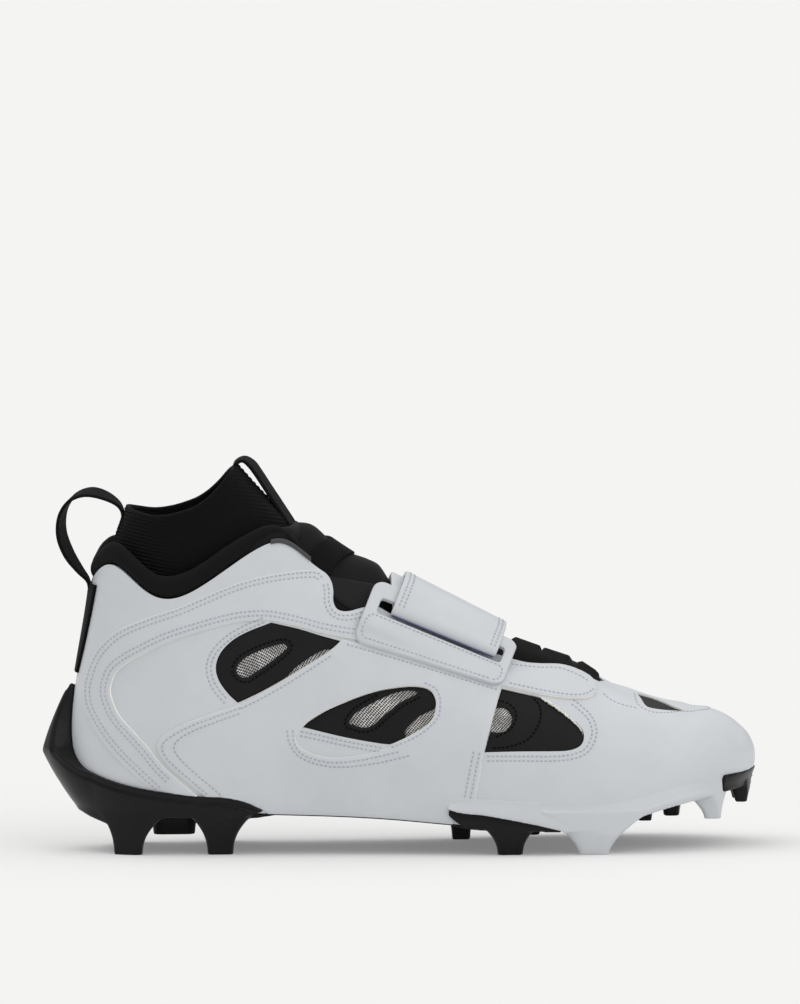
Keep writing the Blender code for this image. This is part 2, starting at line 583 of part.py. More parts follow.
# Padded collar along the top edge, from eyestay to eyestay round the heel
COLLAR_HALF_THICK, COLLAR_HALF_HIGH = 3.2, 4.3
COLLAR_SIDES = 8
collar_from = LAST.knot[ROW["eyestay top, inner"]] - ROUND
collar_u = np.linspace(collar_from, LAST.knot[ROW["eyestay top, outer"]], 28)
spot, facing, rising = frame_at(collar_u, np.ones(collar_u.shape))
turn = 2.0 * math.pi * (np.arange(COLLAR_SIDES) + 0.5) / COLLAR_SIDES
shift_out = -2.2 + COLLAR_HALF_THICK * np.cos(turn)
shift_up = GAP + 0.7 + COLLAR_HALF_HIGH * (1.0 + np.sin(turn))
tube("collar", spot[:, None, :] + facing[:, None, :] * shift_out[None, :, None]
     + rising[:, None, :] * shift_up[None, :, None], False, BLACK_CLOTH)

# Knit cuff: back and front of its oval, and half its width, from hidden foot 0 to rim 1
CUFF = ((0.0, -125.8, -47.5, 25.2), (0.4, -124.0, -46.8, 26.0), (0.72, -122.0, -58.5, 25.8),
        (1.0, -120.4, -68.0, 25.0))
CUFF_FOOT = ((-126.0, 116.0), (-102.0, 106.0), (-84.0, 111.0), (-60.0, 122.0), (-46.0, 125.0))
CUFF_RIM = ((-120.4, 148.6), (-113.0, 146.4), (-105.0, 145.3), (-98.0, 145.9), (-92.0, 147.5),
            (-86.0, 150.0), (-81.0, 153.6), (-77.0, 157.6), (-73.0, 162.4), (-68.0, 166.6))
CUFF_ROUND = 26


def cuff_points(v, draw_in):
    rows = np.array(CUFF)
    turn = 2.0 * math.pi * np.arange(CUFF_ROUND) / CUFF_ROUND
    c = np.sign(np.cos(turn)) * np.abs(np.cos(turn)) ** 0.9
    s = np.sign(np.sin(turn)) * np.abs(np.sin(turn)) ** 0.9

    def ring_x(level):
        back = np.interp(level, rows[:, 0], rows[:, 1]) + draw_in
        front = np.interp(level, rows[:, 0], rows[:, 2]) - draw_in
        return 0.5 * (back + front) + 0.5 * (front - back) * c

    wide = np.interp(v, rows[:, 0], rows[:, 3]) - draw_in
    z = (1.0 - v) * line(CUFF_FOOT, ring_x(0.0)) + v * line(CUFF_RIM, ring_x(1.0))
    return np.stack([ring_x(v), wide * s, z], axis=1)


levels = np.array([0.0, 0.4, 0.56, 0.72, 1.0])
shell("cuff", np.stack([cuff_points(v, 0.0) for v in levels], axis=1),
      np.stack([cuff_points(v, CUFF_WALL) for v in levels], axis=1), True, BLACK_KNIT)

# Tongue: crest height, half width, drop at its edges and thickness, by length
TONGUE = ((-43.6, 141.0, 19.0, 14.0, 5.5), (-38.0, 138.6, 22.0, 20.0, 6.5), (-30.0, 133.2, 24.0, 22.5, 6.5),
          (-21.0, 127.4, 25.0, 23.0, 6.5), (-12.0, 123.2, 25.2, 23.5, 6.5),
          (-7.4, 118.4, 25.3, 22.0, 5.8), (-3.6, 114.3, 25.4, 20.5, 5.0),
          (8.0, 107.6, 25.6, 21.0, 4.5), (30.0, 97.0, 25.6, 20.0, 4.0), (55.0, 86.2, 21.5, 18.5, 3.5),
          (70.0, 80.0, 18.0, 14.0, 3.2), (82.0, 72.8, 13.0, 9.5, 3.0), (92.0, 66.0, 9.0, 4.5, 2.6))
TONGUE_CROWN = 2.2


def tongue_rows(x):
    """Smooth curve through the tongue's table at length x."""
    rows = np.array(TONGUE)
    knots = rows[:, 0]
    slope = np.gradient(rows[:, 1:], knots, axis=0)
    x = np.clip(np.asarray(x, dtype=float), knots[0], knots[-1])
    i = np.clip(np.searchsorted(knots, x, side="right") - 1, 0, len(knots) - 2)
    h = knots[i + 1] - knots[i]
    t = ((x - knots[i]) / h)[..., None]
    h = h[..., None]
    return ((2 * t ** 3 - 3 * t * t + 1) * rows[i, 1:] + (t ** 3 - 2 * t * t + t) * h * slope[i]
            + (3 * t * t - 2 * t ** 3) * rows[i + 1, 1:] + (t ** 3 - t * t) * h * slope[i + 1])


def tongue_height(x, y):
    rows = tongue_rows(x)
    return rows[..., 0] - rows[..., 2] * np.abs(np.asarray(y) / rows[..., 1]) ** TONGUE_CROWN


tongue_x, share = np.meshgrid(np.linspace(-43.6, 92.0, 15), np.linspace(-1.0, 1.0, 9), indexing="ij")
rows = tongue_rows(tongue_x)
tongue_top = np.stack([tongue_x, rows[..., 1] * share,
                       rows[..., 0] - rows[..., 2] * np.abs(share) ** TONGUE_CROWN], axis=-1)
tongue_low = np.stack([tongue_x, (rows[..., 1] - 0.7 * rows[..., 3]) * share,
                       tongue_top[..., 2] - rows[..., 3]], axis=-1)
shell("tongue", tongue_top, tongue_low, False, BLACK_CLOTH)


def ribbon(name, x, y, across, width, lift, thick, paint):
    """Flat band laid over the tongue along (x, y), its width along the vector across."""
    side = np.array([-0.5, 0.5]) * width
    px = x[:, None] + across[0] * side[None, :]
    py = y[:, None] + across[1] * side[None, :]
    z = tongue_height(px, py)
    low = np.stack([px, py, z + lift], axis=-1)
    high = np.stack([px, py, z + lift + thick], axis=-1)
    return shell(name, high, low, False, paint)


# Laces: crossings in front of the strap. Columns: length along the shoe, half reach, slant
LACE_WIDTH, LACE_THICK = 5.6, 1.6
LACES = ((55.0, 17.0, 3.0), (68.0, 14.0, 2.8), (79.6, 9.0, 1.8))
for number, (x, reach, slant) in enumerate(LACES, start=1):
    share = np.linspace(-1.0, 1.0, 7)
    strips = []
    for way in (1.0, -1.0):
        along = np.array([slant * way, reach])
        along = along / np.linalg.norm(along)
        strips.append(ribbon(f"lace_cross_{number}", x + way * slant * share, reach * share,
                             (along[1], -along[0]), LACE_WIDTH, GAP + 0.2, LACE_THICK, BLACK_WEB))
    combine(strips[0], strips[1], "UNION")

# Webbing band over the instep
BAND_WIDTH, BAND_THICK, BAND_REACH = 11.0, 1.4, 20.5
share = np.linspace(-1.0, 1.0, 11)
ribbon("instep_band", -24.6 - 7.5 * np.abs(share) ** 1.3, BAND_REACH * share, (1.0, 0.0), BAND_WIDTH,
       GAP + 0.3, BAND_THICK, BLACK_WEB)

# Strap and its side loop, in axes turned with the instep: w along the shoe, n away from it
PITCH = math.radians(23.0)
STRAP_FROM, STRAP_TO, STRAP_THICK = -46.0, 2.6, 1.8
LOOP_FROM, LOOP_TO, LOOP_HIGH, LOOP_THICK = -55.6, 9.2, 28.7, 2.2
LOOP_CORNER = 5.0
SLOT_FROM, SLOT_TO, SLOT_LOW, SLOT_HIGH = -51.2, 5.0, 14.0, 20.6
LOOP_FOOT_Y, LOOP_FOOT_N = -34.0, 80.0
LOOP_RUN = np.array([0.578, 0.816])
LOOP_OUT = np.array([-0.816, 0.578])
CREST_N = 107.8


def from_strap_axes(w, y, n):
    return np.stack([w * math.cos(PITCH) + n * math.sin(PITCH), y + 0.0 * w,
                     n * math.cos(PITCH) - w * math.sin(PITCH)], axis=-1)


def to_strap_axes(p):
    return (p[..., 0] * math.cos(PITCH) - p[..., 2] * math.sin(PITCH), p[..., 1],
            p[..., 0] * math.sin(PITCH) + p[..., 2] * math.cos(PITCH))


near_u, near_v = np.meshgrid(np.linspace(u_at_x(-70.0, False), u_at_x(75.0, False), 90),
                             np.linspace(0.3, 1.0, 60), indexing="ij")
w, y, n = to_strap_axes(surface(near_u, near_v))
lean = np.stack([y - LOOP_FOOT_Y, n - LOOP_FOOT_N], axis=-1)
up_loop, off_loop = lean @ LOOP_RUN, lean @ LOOP_OUT
near = (w > LOOP_FROM) & (w < LOOP_TO) & (up_loop > 0.0)
loop_foot = np.array([LOOP_FOOT_Y, LOOP_FOOT_N]) + LOOP_OUT * (off_loop[near].max() + GAP)


def on_loop(up, off):
    place = loop_foot + np.multiply.outer(up, LOOP_RUN) + np.multiply.outer(off, LOOP_OUT)
    return place[..., 0], place[..., 1]


def rounded_box(x0, x1, y0, y1, radius, parts):
    made = []
    for cx, cy, start in ((x1 - radius, y0 + radius, -90), (x1 - radius, y1 - radius, 0),
                          (x0 + radius, y1 - radius, 90), (x0 + radius, y0 + radius, 180)):
        for k in range(parts + 1):
            a = math.radians(start + 90.0 * k / parts)
            made.append((cx + radius * math.cos(a), cy + radius * math.sin(a)))
    return np.array(made)


def loop_solid(name, shape, low, high):
    rings = []
    for off in (low, high):
        y, n = on_loop(shape[:, 1], np.full(len(shape), off))
        rings.append(from_strap_axes(shape[:, 0], y, n))
    return tube(name, rings, False, WHITE_MOULD)


loop_edge = rounded_box(LOOP_FROM, LOOP_TO, 0.0, LOOP_HIGH, LOOP_CORNER, 5)
slot_edge = rounded_box(SLOT_FROM, SLOT_TO, SLOT_LOW, SLOT_HIGH, 1.6, 3)
loop = loop_solid("strap_loop", loop_edge, 0.0, LOOP_THICK)
combine(loop, loop_solid("slot", slot_edge, -1.0, LOOP_THICK + 1.0), "DIFFERENCE")

far_u, far_v = np.meshgrid(np.linspace(u_at_x(75.0, True), u_at_x(-70.0, True), 90),
                           np.linspace(0.1, 1.0, 70), indexing="ij")
w, y, n = to_strap_axes(skin(far_u, far_v, np.full(far_u.shape, GAP + OVERLAY)))
near = (w > STRAP_FROM - 1.0) & (w < STRAP_TO + 1.0)
w, y, n = w[near], y[near], n[near]
path = []
for height in (60.0, 66.0, 72.0, 78.0, 84.0, 90.0):
    path.append((y[np.abs(n - height) < 1.5].max() + GAP + 0.5 * STRAP_THICK + 0.3, height))
path += [(25.4, 95.6), (20.6, 100.0), (14.0, 103.4), (7.0, 105.0), (0.0, CREST_N - 2.2), (-8.0, 104.6)]
for up, off in ((27.5, -1.3), (24.5, -1.2), (20.6, -1.2), (18.4, -0.5), (17.4, 1.1), (18.4, 2.7),
                (20.6, 3.4), (25.0, 3.4), (28.4, 3.5), (30.2, 4.0)):
    place = on_loop(np.array(up), np.array(off))
    path.append((float(place[0]), float(place[1])))
path += [(-13.0, CREST_N - 0.5), (-6.0, CREST_N), (0.0, CREST_N), (7.0, CREST_N - 0.5),
         (14.0, CREST_N - 2.0), (19.5, CREST_N - 4.8)]
path = np.array(path)
run = np.gradient(path, axis=0)
run = run / np.linalg.norm(run, axis=1)[:, None]
away = np.stack([-run[:, 1], run[:, 0]], axis=1) * 0.5 * STRAP_THICK
wide = np.linspace(STRAP_FROM, STRAP_TO, 3)
faces_of_strap = []
for way in (1.0, -1.0):
    edge = path + way * away
    faces_of_strap.append(from_strap_axes(wide[None, :] + 0.0 * edge[:, :1],
                                          edge[:, :1] + 0.0 * wide[None, :],
                                          edge[:, 1:] + 0.0 * wide[None, :]))
shell("strap", faces_of_strap[0], faces_of_strap[1], False, WHITE)


# Webbing pull loops, in side view, with how far the band is turned
def web_loop(name, rows, width, thick, twist):
    rows = np.array(rows)
    run = np.gradient(rows[:, :2], axis=0)
    run = run / np.linalg.norm(run, axis=1)[:, None]
    away = np.stack([-run[:, 1], run[:, 0]], axis=1) * 0.5 * thick
    side = np.array([-0.5, 0.5]) * width
    grids = []
    for way in (1.0, -1.0):
        p = rows[:, :2] + way * away
        turn = rows[:, 2:3] * side[None, :]
        grids.append(np.stack([p[:, :1] + twist[0] * turn, np.broadcast_to(side[None, :], turn.shape),
                               p[:, 1:2] + twist[1] * turn], axis=-1))
    return shell(name, grids[0], grids[1], False, BLACK_WEB)


HEEL_LOOP = ((-135.9, 110.5, 0.0), (-136.2, 116.0, 0.1), (-138.6, 121.4, 0.6), (-142.6, 128.6, 1.0),
             (-145.0, 137.0, 1.0), (-144.4, 145.6, 1.0), (-140.2, 152.2, 1.0), (-133.6, 154.8, 1.0),
             (-127.4, 153.4, 0.7), (-123.6, 149.4, 0.2), (-123.2, 144.0, 0.0), (-124.0, 138.0, 0.0))
web_loop("heel_loop", HEEL_LOOP, 12.0, 1.4, (0.28, 0.2))
FRONT_LOOP = ((-69.6, 168.5, 0.0), (-67.6, 170.4, 0.0), (-64.6, 169.6, 0.0), (-61.0, 164.6, 0.0),
              (-57.4, 158.4, 0.0), (-53.0, 150.96, 0.0), (-48.1, 144.8, 0.0))
web_loop("front_loop", FRONT_LOOP, 16.0, 1.6, (0.0, 0.0))

# Heel tab up the back seam
TAB_FROM, TAB_TO, TAB_LOW_HALF, TAB_TOP_HALF, TAB_THICK = 77.0, 115.5, 4.0, 17.5, 1.1
rise = np.linspace(0.0, 1.0, 5)
share = np.linspace(-1.0, 1.0, 7)
u = share[:, None] * (TAB_LOW_HALF + (TAB_TOP_HALF - TAB_LOW_HALF) * rise[None, :])
v = v_at_height(u, np.broadcast_to(TAB_FROM + (TAB_TO - TAB_FROM) * rise[None, :], u.shape))
shell("heel_tab", skin(u, v, np.full(u.shape, OVERLAY_GAP + TAB_THICK)),
      skin(u, v, np.full(u.shape, OVERLAY_GAP)), False, BLACK_WEB)

# Stand the shoe on its studs with the middle of its box at the origin, and go over to metres
bpy.context.view_layer.update()
pieces = [item for item in bpy.data.objects if item.type == "MESH"]
corners = np.concatenate([[v.co[:] for v in item.data.vertices] for item in pieces])
low, high = corners.min(axis=0), corners.max(axis=0)
middle = np.array([0.5 * (low[0] + high[0]), 0.5 * (low[1] + high[1]), low[2]])
for item in pieces:
    for vertex in item.data.vertices:
        vertex.co = (np.array(vertex.co[:]) - middle) * MM
    item.data.update()
print("length, width, height in mm:", np.round(high - low, 1), "middle:", np.round(middle, 2))
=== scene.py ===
# %% [markdown]
# # A studded field shoe, dressed over its frame
# The frame holds the plain solids of the shoe: upper, overlays, collar, cuff, tongue, strap, loops and
# sole. This lesson puts the finished surfaces over them, piece by piece. It begins by loading the frame
# and printing the box of its upper.

# %% Load the frame
import math
import bpy
import numpy as np
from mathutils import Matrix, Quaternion, Vector
from mathutils.geometry import delaunay_2d_cdt


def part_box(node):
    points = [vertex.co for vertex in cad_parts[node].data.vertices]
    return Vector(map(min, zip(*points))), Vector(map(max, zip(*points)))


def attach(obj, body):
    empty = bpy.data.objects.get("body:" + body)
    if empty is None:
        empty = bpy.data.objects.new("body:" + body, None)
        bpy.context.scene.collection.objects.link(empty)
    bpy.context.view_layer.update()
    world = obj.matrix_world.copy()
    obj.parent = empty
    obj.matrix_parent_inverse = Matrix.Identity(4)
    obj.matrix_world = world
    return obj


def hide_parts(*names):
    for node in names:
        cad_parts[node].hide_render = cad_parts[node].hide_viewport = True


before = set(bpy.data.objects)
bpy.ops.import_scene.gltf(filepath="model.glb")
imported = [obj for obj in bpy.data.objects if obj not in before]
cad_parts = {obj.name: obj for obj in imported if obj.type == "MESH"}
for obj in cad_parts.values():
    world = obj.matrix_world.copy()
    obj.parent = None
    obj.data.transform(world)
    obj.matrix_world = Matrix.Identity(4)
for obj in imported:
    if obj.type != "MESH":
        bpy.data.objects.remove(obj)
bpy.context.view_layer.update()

# %% [markdown]
# A shoemaker works in millimetres, so every table below does too: x runs from the middle of the shoe to the
# toe, y to the inner side, z up. One function turns such places into the frame's metres.

# %% Millimetres of the shoe into metres of the frame
MIDDLE = np.array([-1.04, -0.72, 0.0])
MILLIMETRE = 0.001


def metres(points):
    return (np.asarray(points, dtype=float) - MIDDLE) * MILLIMETRE


def unit(rows):
    """Directions of length one."""
    return rows / np.maximum(np.linalg.norm(rows, axis=-1, keepdims=True), 1e-9)


def rounded(wave, power):
    """A wave made squarer by a small power or more pointed by a large one, with its sign kept."""
    return np.sign(wave) * np.abs(wave) ** power


def full_turn(count):
    """Evenly spaced angles once round."""
    return 2.0 * math.pi * np.arange(count) / count


low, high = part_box("upper")
print("upper in the frame, mm:", [round(1000 * c, 1) for c in low], [round(1000 * c, 1) for c in high])

# %% [markdown]
# ## Studio
# The shoe stands on a very wide pale floor; the long lens sees only that, so no horizon shows. The floor
# glows a little, which keeps the shadow as light as on a lit table. One very soft lamp above lifts
# the top faces, another from the toe side brightens the forefoot; the rest of the light comes from the sky.

# %% Node helpers
WHITE_LIGHT = (1.0, 1.0, 1.0, 1.0)


def add_node(tree, kind, inputs=(), **settings):
    """New node with its settings, and with plain values on some of its sockets."""
    made = tree.nodes.new(kind)
    for name, value in settings.items():
        setattr(made, name, value)
    for socket, value in dict(inputs).items():
        made.inputs[socket].default_value = value
    return made


def new_material(name, inputs):
    """Material with plain values on its shader: the material, its node tree and the shader."""
    made = bpy.data.materials.new(name)
    made.use_nodes = True
    shader = made.node_tree.nodes["Principled BSDF"]
    for socket, value in inputs.items():
        shader.inputs[socket].default_value = value
    return made, made.node_tree, shader

# %% Pale floor
FLOOR_SIZE, FLOOR_TONE, FLOOR_GLOW = 120.0, (0.66, 0.658, 0.65, 1.0), 0.19
bpy.ops.object.select_all(action="DESELECT")
bpy.ops.mesh.primitive_plane_add(size=FLOOR_SIZE, location=(0.0, 0.0, 0.0))
studio_floor = bpy.context.object
studio_floor.name = "studio_floor"
paper = new_material("studio_paper", {"Base Color": FLOOR_TONE, "Roughness": 0.9, "Specular IOR Level": 0.0,
                                      "Emission Color": WHITE_LIGHT, "Emission Strength": FLOOR_GLOW})[0]
studio_floor.data.materials.append(paper)
print("floor:", len(studio_floor.data.polygons), "face")

# %% Lamps and a sky that is brighter overhead than at the horizon
HORIZON, OVERHEAD = 0.36, 1.0
LAMP_SPREAD = math.radians(60.0)
LAMPS = (("lamp_above", (-0.6, 0.3, 1.2), 0.70), ("lamp_front", (0.7, -0.8, 0.6), 0.68))
scene = bpy.context.scene
scene.view_settings.view_transform = "Standard"
sky = bpy.data.worlds.new("studio_sky")
sky.use_nodes = True
background = sky.node_tree.nodes["Background"]
background.inputs["Color"].default_value = WHITE_LIGHT
where = add_node(sky.node_tree, "ShaderNodeTexCoord")
parts = add_node(sky.node_tree, "ShaderNodeSeparateXYZ")
sky.node_tree.links.new(where.outputs["Generated"], parts.inputs["Vector"])
fade = add_node(sky.node_tree, "ShaderNodeMapRange", {"To Min": HORIZON, "To Max": OVERHEAD})
sky.node_tree.links.new(parts.outputs["Z"], fade.inputs["Value"])
sky.node_tree.links.new(fade.outputs["Result"], background.inputs["Strength"])
scene.world = sky
for name, place, power in LAMPS:
    bpy.ops.object.light_add(type="SUN", location=place)
    lamp = bpy.context.object
    lamp.name = name
    lamp.data.angle = LAMP_SPREAD
    lamp.data.energy = power
    lamp.rotation_euler = (-lamp.location).to_track_quat("-Z", "Y").to_euler()
    print(name, "shines from", place)

# %% [markdown]
# The camera is a long lens level with the shoe's outer side, a few degrees above the ground and rolled by
# half a degree. Its field follows from the size of one picture dot on the shoe.

# %% Camera
PIXEL, FRAME_HIGH, DISTANCE, SENSOR = 0.00043, 1004, 10.0, 36.0
ELEVATION, ROLL = math.radians(4.6), math.radians(-0.55)
AIM = (0.9, -40.0, 152.4)
bpy.ops.object.camera_add()
camera = bpy.context.object
camera.name = "camera"
camera.data.sensor_width = SENSOR
camera.data.lens = SENSOR * DISTANCE / (FRAME_HIGH * PIXEL)
back = Vector((0.0, -math.cos(ELEVATION), math.sin(ELEVATION)))
camera.location = Vector(metres(AIM)) + back * DISTANCE
level_view = (-back).to_track_quat("-Z", "Y")
camera.rotation_euler = (level_view @ Quaternion((0.0, 0.0, 1.0), ROLL)).to_euler()
scene.camera = camera
print("lens:", round(camera.data.lens), "mm")

# %% [markdown]
# ## Finishes
# Each finish is a Principled shader. What several of them share (leather grain, soft blotches, a woven
# ground, an open net) is built once as a node group that gives heights and masks, and each material takes
# it with its own sizes.

# %% Group helpers
def new_group(name, sizes, output):
    """Group that takes a place and some sizes and gives one value: the tree, its input and its output."""
    tree = bpy.data.node_groups.new(name, "ShaderNodeTree")
    tree.interface.new_socket("Vector", in_out="INPUT", socket_type="NodeSocketVector")
    for label, value in sizes.items():
        socket = tree.interface.new_socket(label, in_out="INPUT", socket_type="NodeSocketFloat")
        socket.default_value = value
    tree.interface.new_socket(output, in_out="OUTPUT", socket_type="NodeSocketFloat")
    return tree, add_node(tree, "NodeGroupInput"), add_node(tree, "NodeGroupOutput")


def maths(tree, operation, *values):
    """Maths node over sockets and plain numbers: its result."""
    made = add_node(tree, "ShaderNodeMath", operation=operation)
    for place, value in enumerate(values):
        if isinstance(value, (int, float)):
            made.inputs[place].default_value = value
        else:
            tree.links.new(value, made.inputs[place])
    return made.outputs[0]

# %% Shared effects: grain and blotches
grain, head, tail = new_group("leather_grain", {"Size": 900.0}, "Height")
cells = add_node(grain, "ShaderNodeTexVoronoi", feature="F1")
folds = add_node(grain, "ShaderNodeTexNoise", {"Detail": 3.0})
for target, share in ((cells, 1.0), (folds, 0.4)):
    grain.links.new(head.outputs["Vector"], target.inputs["Vector"])
    grain.links.new(maths(grain, "MULTIPLY", head.outputs["Size"], share), target.inputs["Scale"])
bumps = maths(grain, "MULTIPLY", cells.outputs["Distance"], 0.6)
grain.links.new(maths(grain, "ADD", bumps, folds.outputs["Fac"]), tail.inputs["Height"])

blotch, head, tail = new_group("soft_blotches", {"Size": 40.0}, "Mask")
cloud = add_node(blotch, "ShaderNodeTexNoise", {"Detail": 5.0, "Roughness": 0.6})
spread = add_node(blotch, "ShaderNodeMapRange", {"From Min": 0.36, "From Max": 0.68})
blotch.links.new(head.outputs["Vector"], cloud.inputs["Vector"])
blotch.links.new(head.outputs["Size"], cloud.inputs["Scale"])
blotch.links.new(cloud.outputs["Fac"], spread.inputs["Value"])
blotch.links.new(spread.outputs["Result"], tail.inputs["Mask"])

# %% Shared effects: weave and net
weave, head, tail = new_group("woven_ground", {"Along": 700.0, "Across": 700.0}, "Height")
parts = add_node(weave, "ShaderNodeSeparateXYZ")
weave.links.new(head.outputs["Vector"], parts.inputs["Vector"])
waves = []
for axis, rate in (("X", "Along"), ("Y", "Across")):
    threads = maths(weave, "MULTIPLY", parts.outputs[axis], head.outputs[rate])
    waves.append(maths(weave, "SINE", maths(weave, "MULTIPLY", threads, 2.0 * math.pi)))
crossing = maths(weave, "MULTIPLY", *waves)
weave.links.new(maths(weave, "MULTIPLY_ADD", crossing, 0.5, 0.5), tail.inputs["Height"])

net, head, tail = new_group("open_net", {"Pitch": 900.0}, "Thread")
spots = add_node(net, "ShaderNodeTexVoronoi", {"Randomness": 0.12}, feature="F1", voronoi_dimensions="2D")
hole = add_node(net, "ShaderNodeMapRange", {"From Min": 0.36, "From Max": 0.50})
net.links.new(head.outputs["Vector"], spots.inputs["Vector"])
net.links.new(head.outputs["Pitch"], spots.inputs["Scale"])
net.links.new(spots.outputs["Distance"], hole.inputs["Value"])
net.links.new(hole.outputs["Result"], tail.inputs["Thread"])
print("groups:", [tree.name for tree in bpy.data.node_groups])

# %% [markdown]
# A material helper sets the plain numbers on the shader's own sockets, then wires colour, roughness and
# bump. Colours vary softly between two close tones; height maps are scaled in metres. The net takes its two
# tones from thread and hole instead, and the blotches darken it in patches: painted shade of its recess.

# %% Material helper
MIX_FACTOR, MIX_ONE, MIX_TWO, MIX_RESULT = 0, 6, 7, 2
NET_PAINTED_SHADE_LEAST, NET_PAINTED_SHADE_SPAN = 0.45, 0.6


def mix_colours(tree, shader, factor, one, two):
    """Colour of the shader, between two tones by a factor; the Mix node's colour sockets go by number."""
    tones = {MIX_ONE: (*one, 1.0), MIX_TWO: (*two, 1.0)}
    mixed = add_node(tree, "ShaderNodeMix", data_type="RGBA")
    for socket, tone in tones.items():
        mixed.inputs[socket].default_value = tone
    tree.links.new(factor, mixed.inputs[MIX_FACTOR])
    tree.links.new(mixed.outputs[MIX_RESULT], shader.inputs["Base Color"])


def finish(name, tones, rough, bump, group, sizes, blotch_size=45.0, uv=False, slant=0.0, by_net=False,
           **plain):
    """Material with soft blotches in colour and gloss, and a group's height as bump."""
    made, tree, shader = new_material(name, {key.replace("_", " "): value for key, value in plain.items()})
    place = add_node(tree, "ShaderNodeTexCoord")
    source = place.outputs["UV" if uv else "Object"]
    if slant:
        turned = add_node(tree, "ShaderNodeMapping", {"Rotation": (0.0, 0.0, slant)})
        tree.links.new(source, turned.inputs["Vector"])
        source = turned.outputs["Vector"]
    patches = add_node(tree, "ShaderNodeGroup", node_tree=blotch)
    patches.inputs["Size"].default_value = blotch_size
    tree.links.new(place.outputs["Object"], patches.inputs["Vector"])
    relief = add_node(tree, "ShaderNodeGroup", node_tree=group)
    for socket, value in sizes.items():
        relief.inputs[socket].default_value = value
    tree.links.new(source, relief.inputs["Vector"])
    height, mask = relief.outputs[0], patches.outputs["Mask"]
    factor = mask
    if by_net:
        # On the net the blotches darken the threads in patches: painted shade of the recessed net.
        factor = maths(tree, "MULTIPLY", height, maths(tree, "MULTIPLY_ADD", mask, NET_PAINTED_SHADE_SPAN, NET_PAINTED_SHADE_LEAST))
    mix_colours(tree, shader, factor, *tones)
    gloss = add_node(tree, "ShaderNodeMapRange", {"To Min": rough[0], "To Max": rough[1]})
    tree.links.new(mask, gloss.inputs["Value"])
    tree.links.new(gloss.outputs["Result"], shader.inputs["Roughness"])
    raised = add_node(tree, "ShaderNodeBump", {"Strength": bump[0], "Distance": bump[1]})
    tree.links.new(height, raised.inputs["Height"])
    tree.links.new(raised.outputs["Normal"], shader.inputs["Normal"])
    return made

# %% The shoe's finishes
WHITE = finish("white_synthetic", ((0.60, 0.622, 0.648), (0.575, 0.597, 0.622)), (0.40, 0.50),
               (0.10, 0.0003), grain, {"Size": 1500.0}, Coat_Weight=0.06, Coat_Roughness=0.3)
RAW_EDGE = finish("cream_raw_edge", ((0.88, 0.87, 0.82), (0.80, 0.79, 0.74)), (0.7, 0.85), (0.2, 0.0002),
                  grain, {"Size": 3000.0})
LINING = finish("dark_lining", ((0.022, 0.022, 0.024), (0.03, 0.03, 0.032)), (0.85, 0.95), (0.4, 0.0003),
                weave, {"Along": 900.0, "Across": 900.0}, uv=True)
BLACK_PANEL = finish("black_synthetic", ((0.0042, 0.0042, 0.0045), (0.0065, 0.0065, 0.007)), (0.5, 0.62),
                     (0.12, 0.0003), grain, {"Size": 1900.0}, Specular_IOR_Level=0.2)
NET = finish("grey_net", ((0.006, 0.006, 0.006), (0.95, 0.92, 0.89)), (0.5, 0.6), (0.5, 0.0004), net,
             {"Pitch": 1050.0}, 150.0, uv=True, slant=0.6, by_net=True)
COLLAR_CLOTH = finish("black_padded_cloth", ((0.005, 0.005, 0.0055), (0.007, 0.007, 0.0075)), (0.8, 0.92),
                      (0.35, 0.0003), weave, {"Along": 1300.0, "Across": 1300.0}, uv=True,
                      Sheen_Weight=0.02, Specular_IOR_Level=0.12)
KNIT = finish("black_rib_knit", ((0.0038, 0.0038, 0.0042), (0.0052, 0.0052, 0.0056)), (0.85, 0.95),
              (0.5, 0.0003), weave, {"Along": 900.0, "Across": 1900.0}, uv=True, Sheen_Weight=0.02,
              Specular_IOR_Level=0.12)
TONGUE_CLOTH = finish("black_puffed_cloth", ((0.005, 0.005, 0.0053), (0.007, 0.007, 0.0073)), (0.6, 0.75),
                      (0.2, 0.0003), grain, {"Size": 2200.0}, Sheen_Weight=0.02, Specular_IOR_Level=0.12)
TONGUE_PANEL = finish("dark_smooth_cloth", ((0.0075, 0.0075, 0.0083), (0.0095, 0.0095, 0.0105)),
                      (0.5, 0.62), (0.15, 0.0002), grain, {"Size": 2600.0}, Specular_IOR_Level=0.16)
STRAP_LINING = finish("blue_grey_lining", ((0.10, 0.10, 0.22), (0.13, 0.13, 0.26)), (0.7, 0.85),
                      (0.2, 0.0003), weave, {"Along": 900.0, "Across": 900.0}, uv=True,
                      Specular_IOR_Level=0.1)
WEBBING = finish("black_webbing", ((0.0045, 0.0045, 0.0048), (0.007, 0.007, 0.0073)), (0.6, 0.75),
                 (0.8, 0.0005), weave, {"Along": 420.0, "Across": 900.0}, uv=True, Sheen_Weight=0.01,
                 Specular_IOR_Level=0.06)
LACE_CLOTH = finish("black_lace", ((0.005, 0.005, 0.0053), (0.008, 0.008, 0.0083)), (0.7, 0.85),
                    (0.8, 0.0004), weave, {"Along": 900.0, "Across": 900.0}, uv=True, slant=0.785,
                    Specular_IOR_Level=0.12)
WHITE_MOULD = finish("white_moulding", ((0.58, 0.60, 0.625), (0.565, 0.585, 0.61)), (0.34, 0.42),
                     (0.05, 0.0003), grain, {"Size": 1200.0}, Coat_Weight=0.1, Coat_Roughness=0.25)
BLACK_MOULD = finish("black_moulding", ((0.0026, 0.0026, 0.0028), (0.004, 0.004, 0.0042)), (0.26, 0.38),
                     (0.05, 0.0003), grain, {"Size": 1400.0}, Specular_IOR_Level=0.22)
# The pale thread is painted a blue-grey darker than the upper: painted shade of the recess it lies in.
THREAD_WITH_PAINTED_SHADE = finish("white_thread_painted_shade", ((0.46, 0.485, 0.53), (0.40, 0.425, 0.47)), (0.6, 0.75), (0.3, 0.0002),
                grain, {"Size": 4000.0})
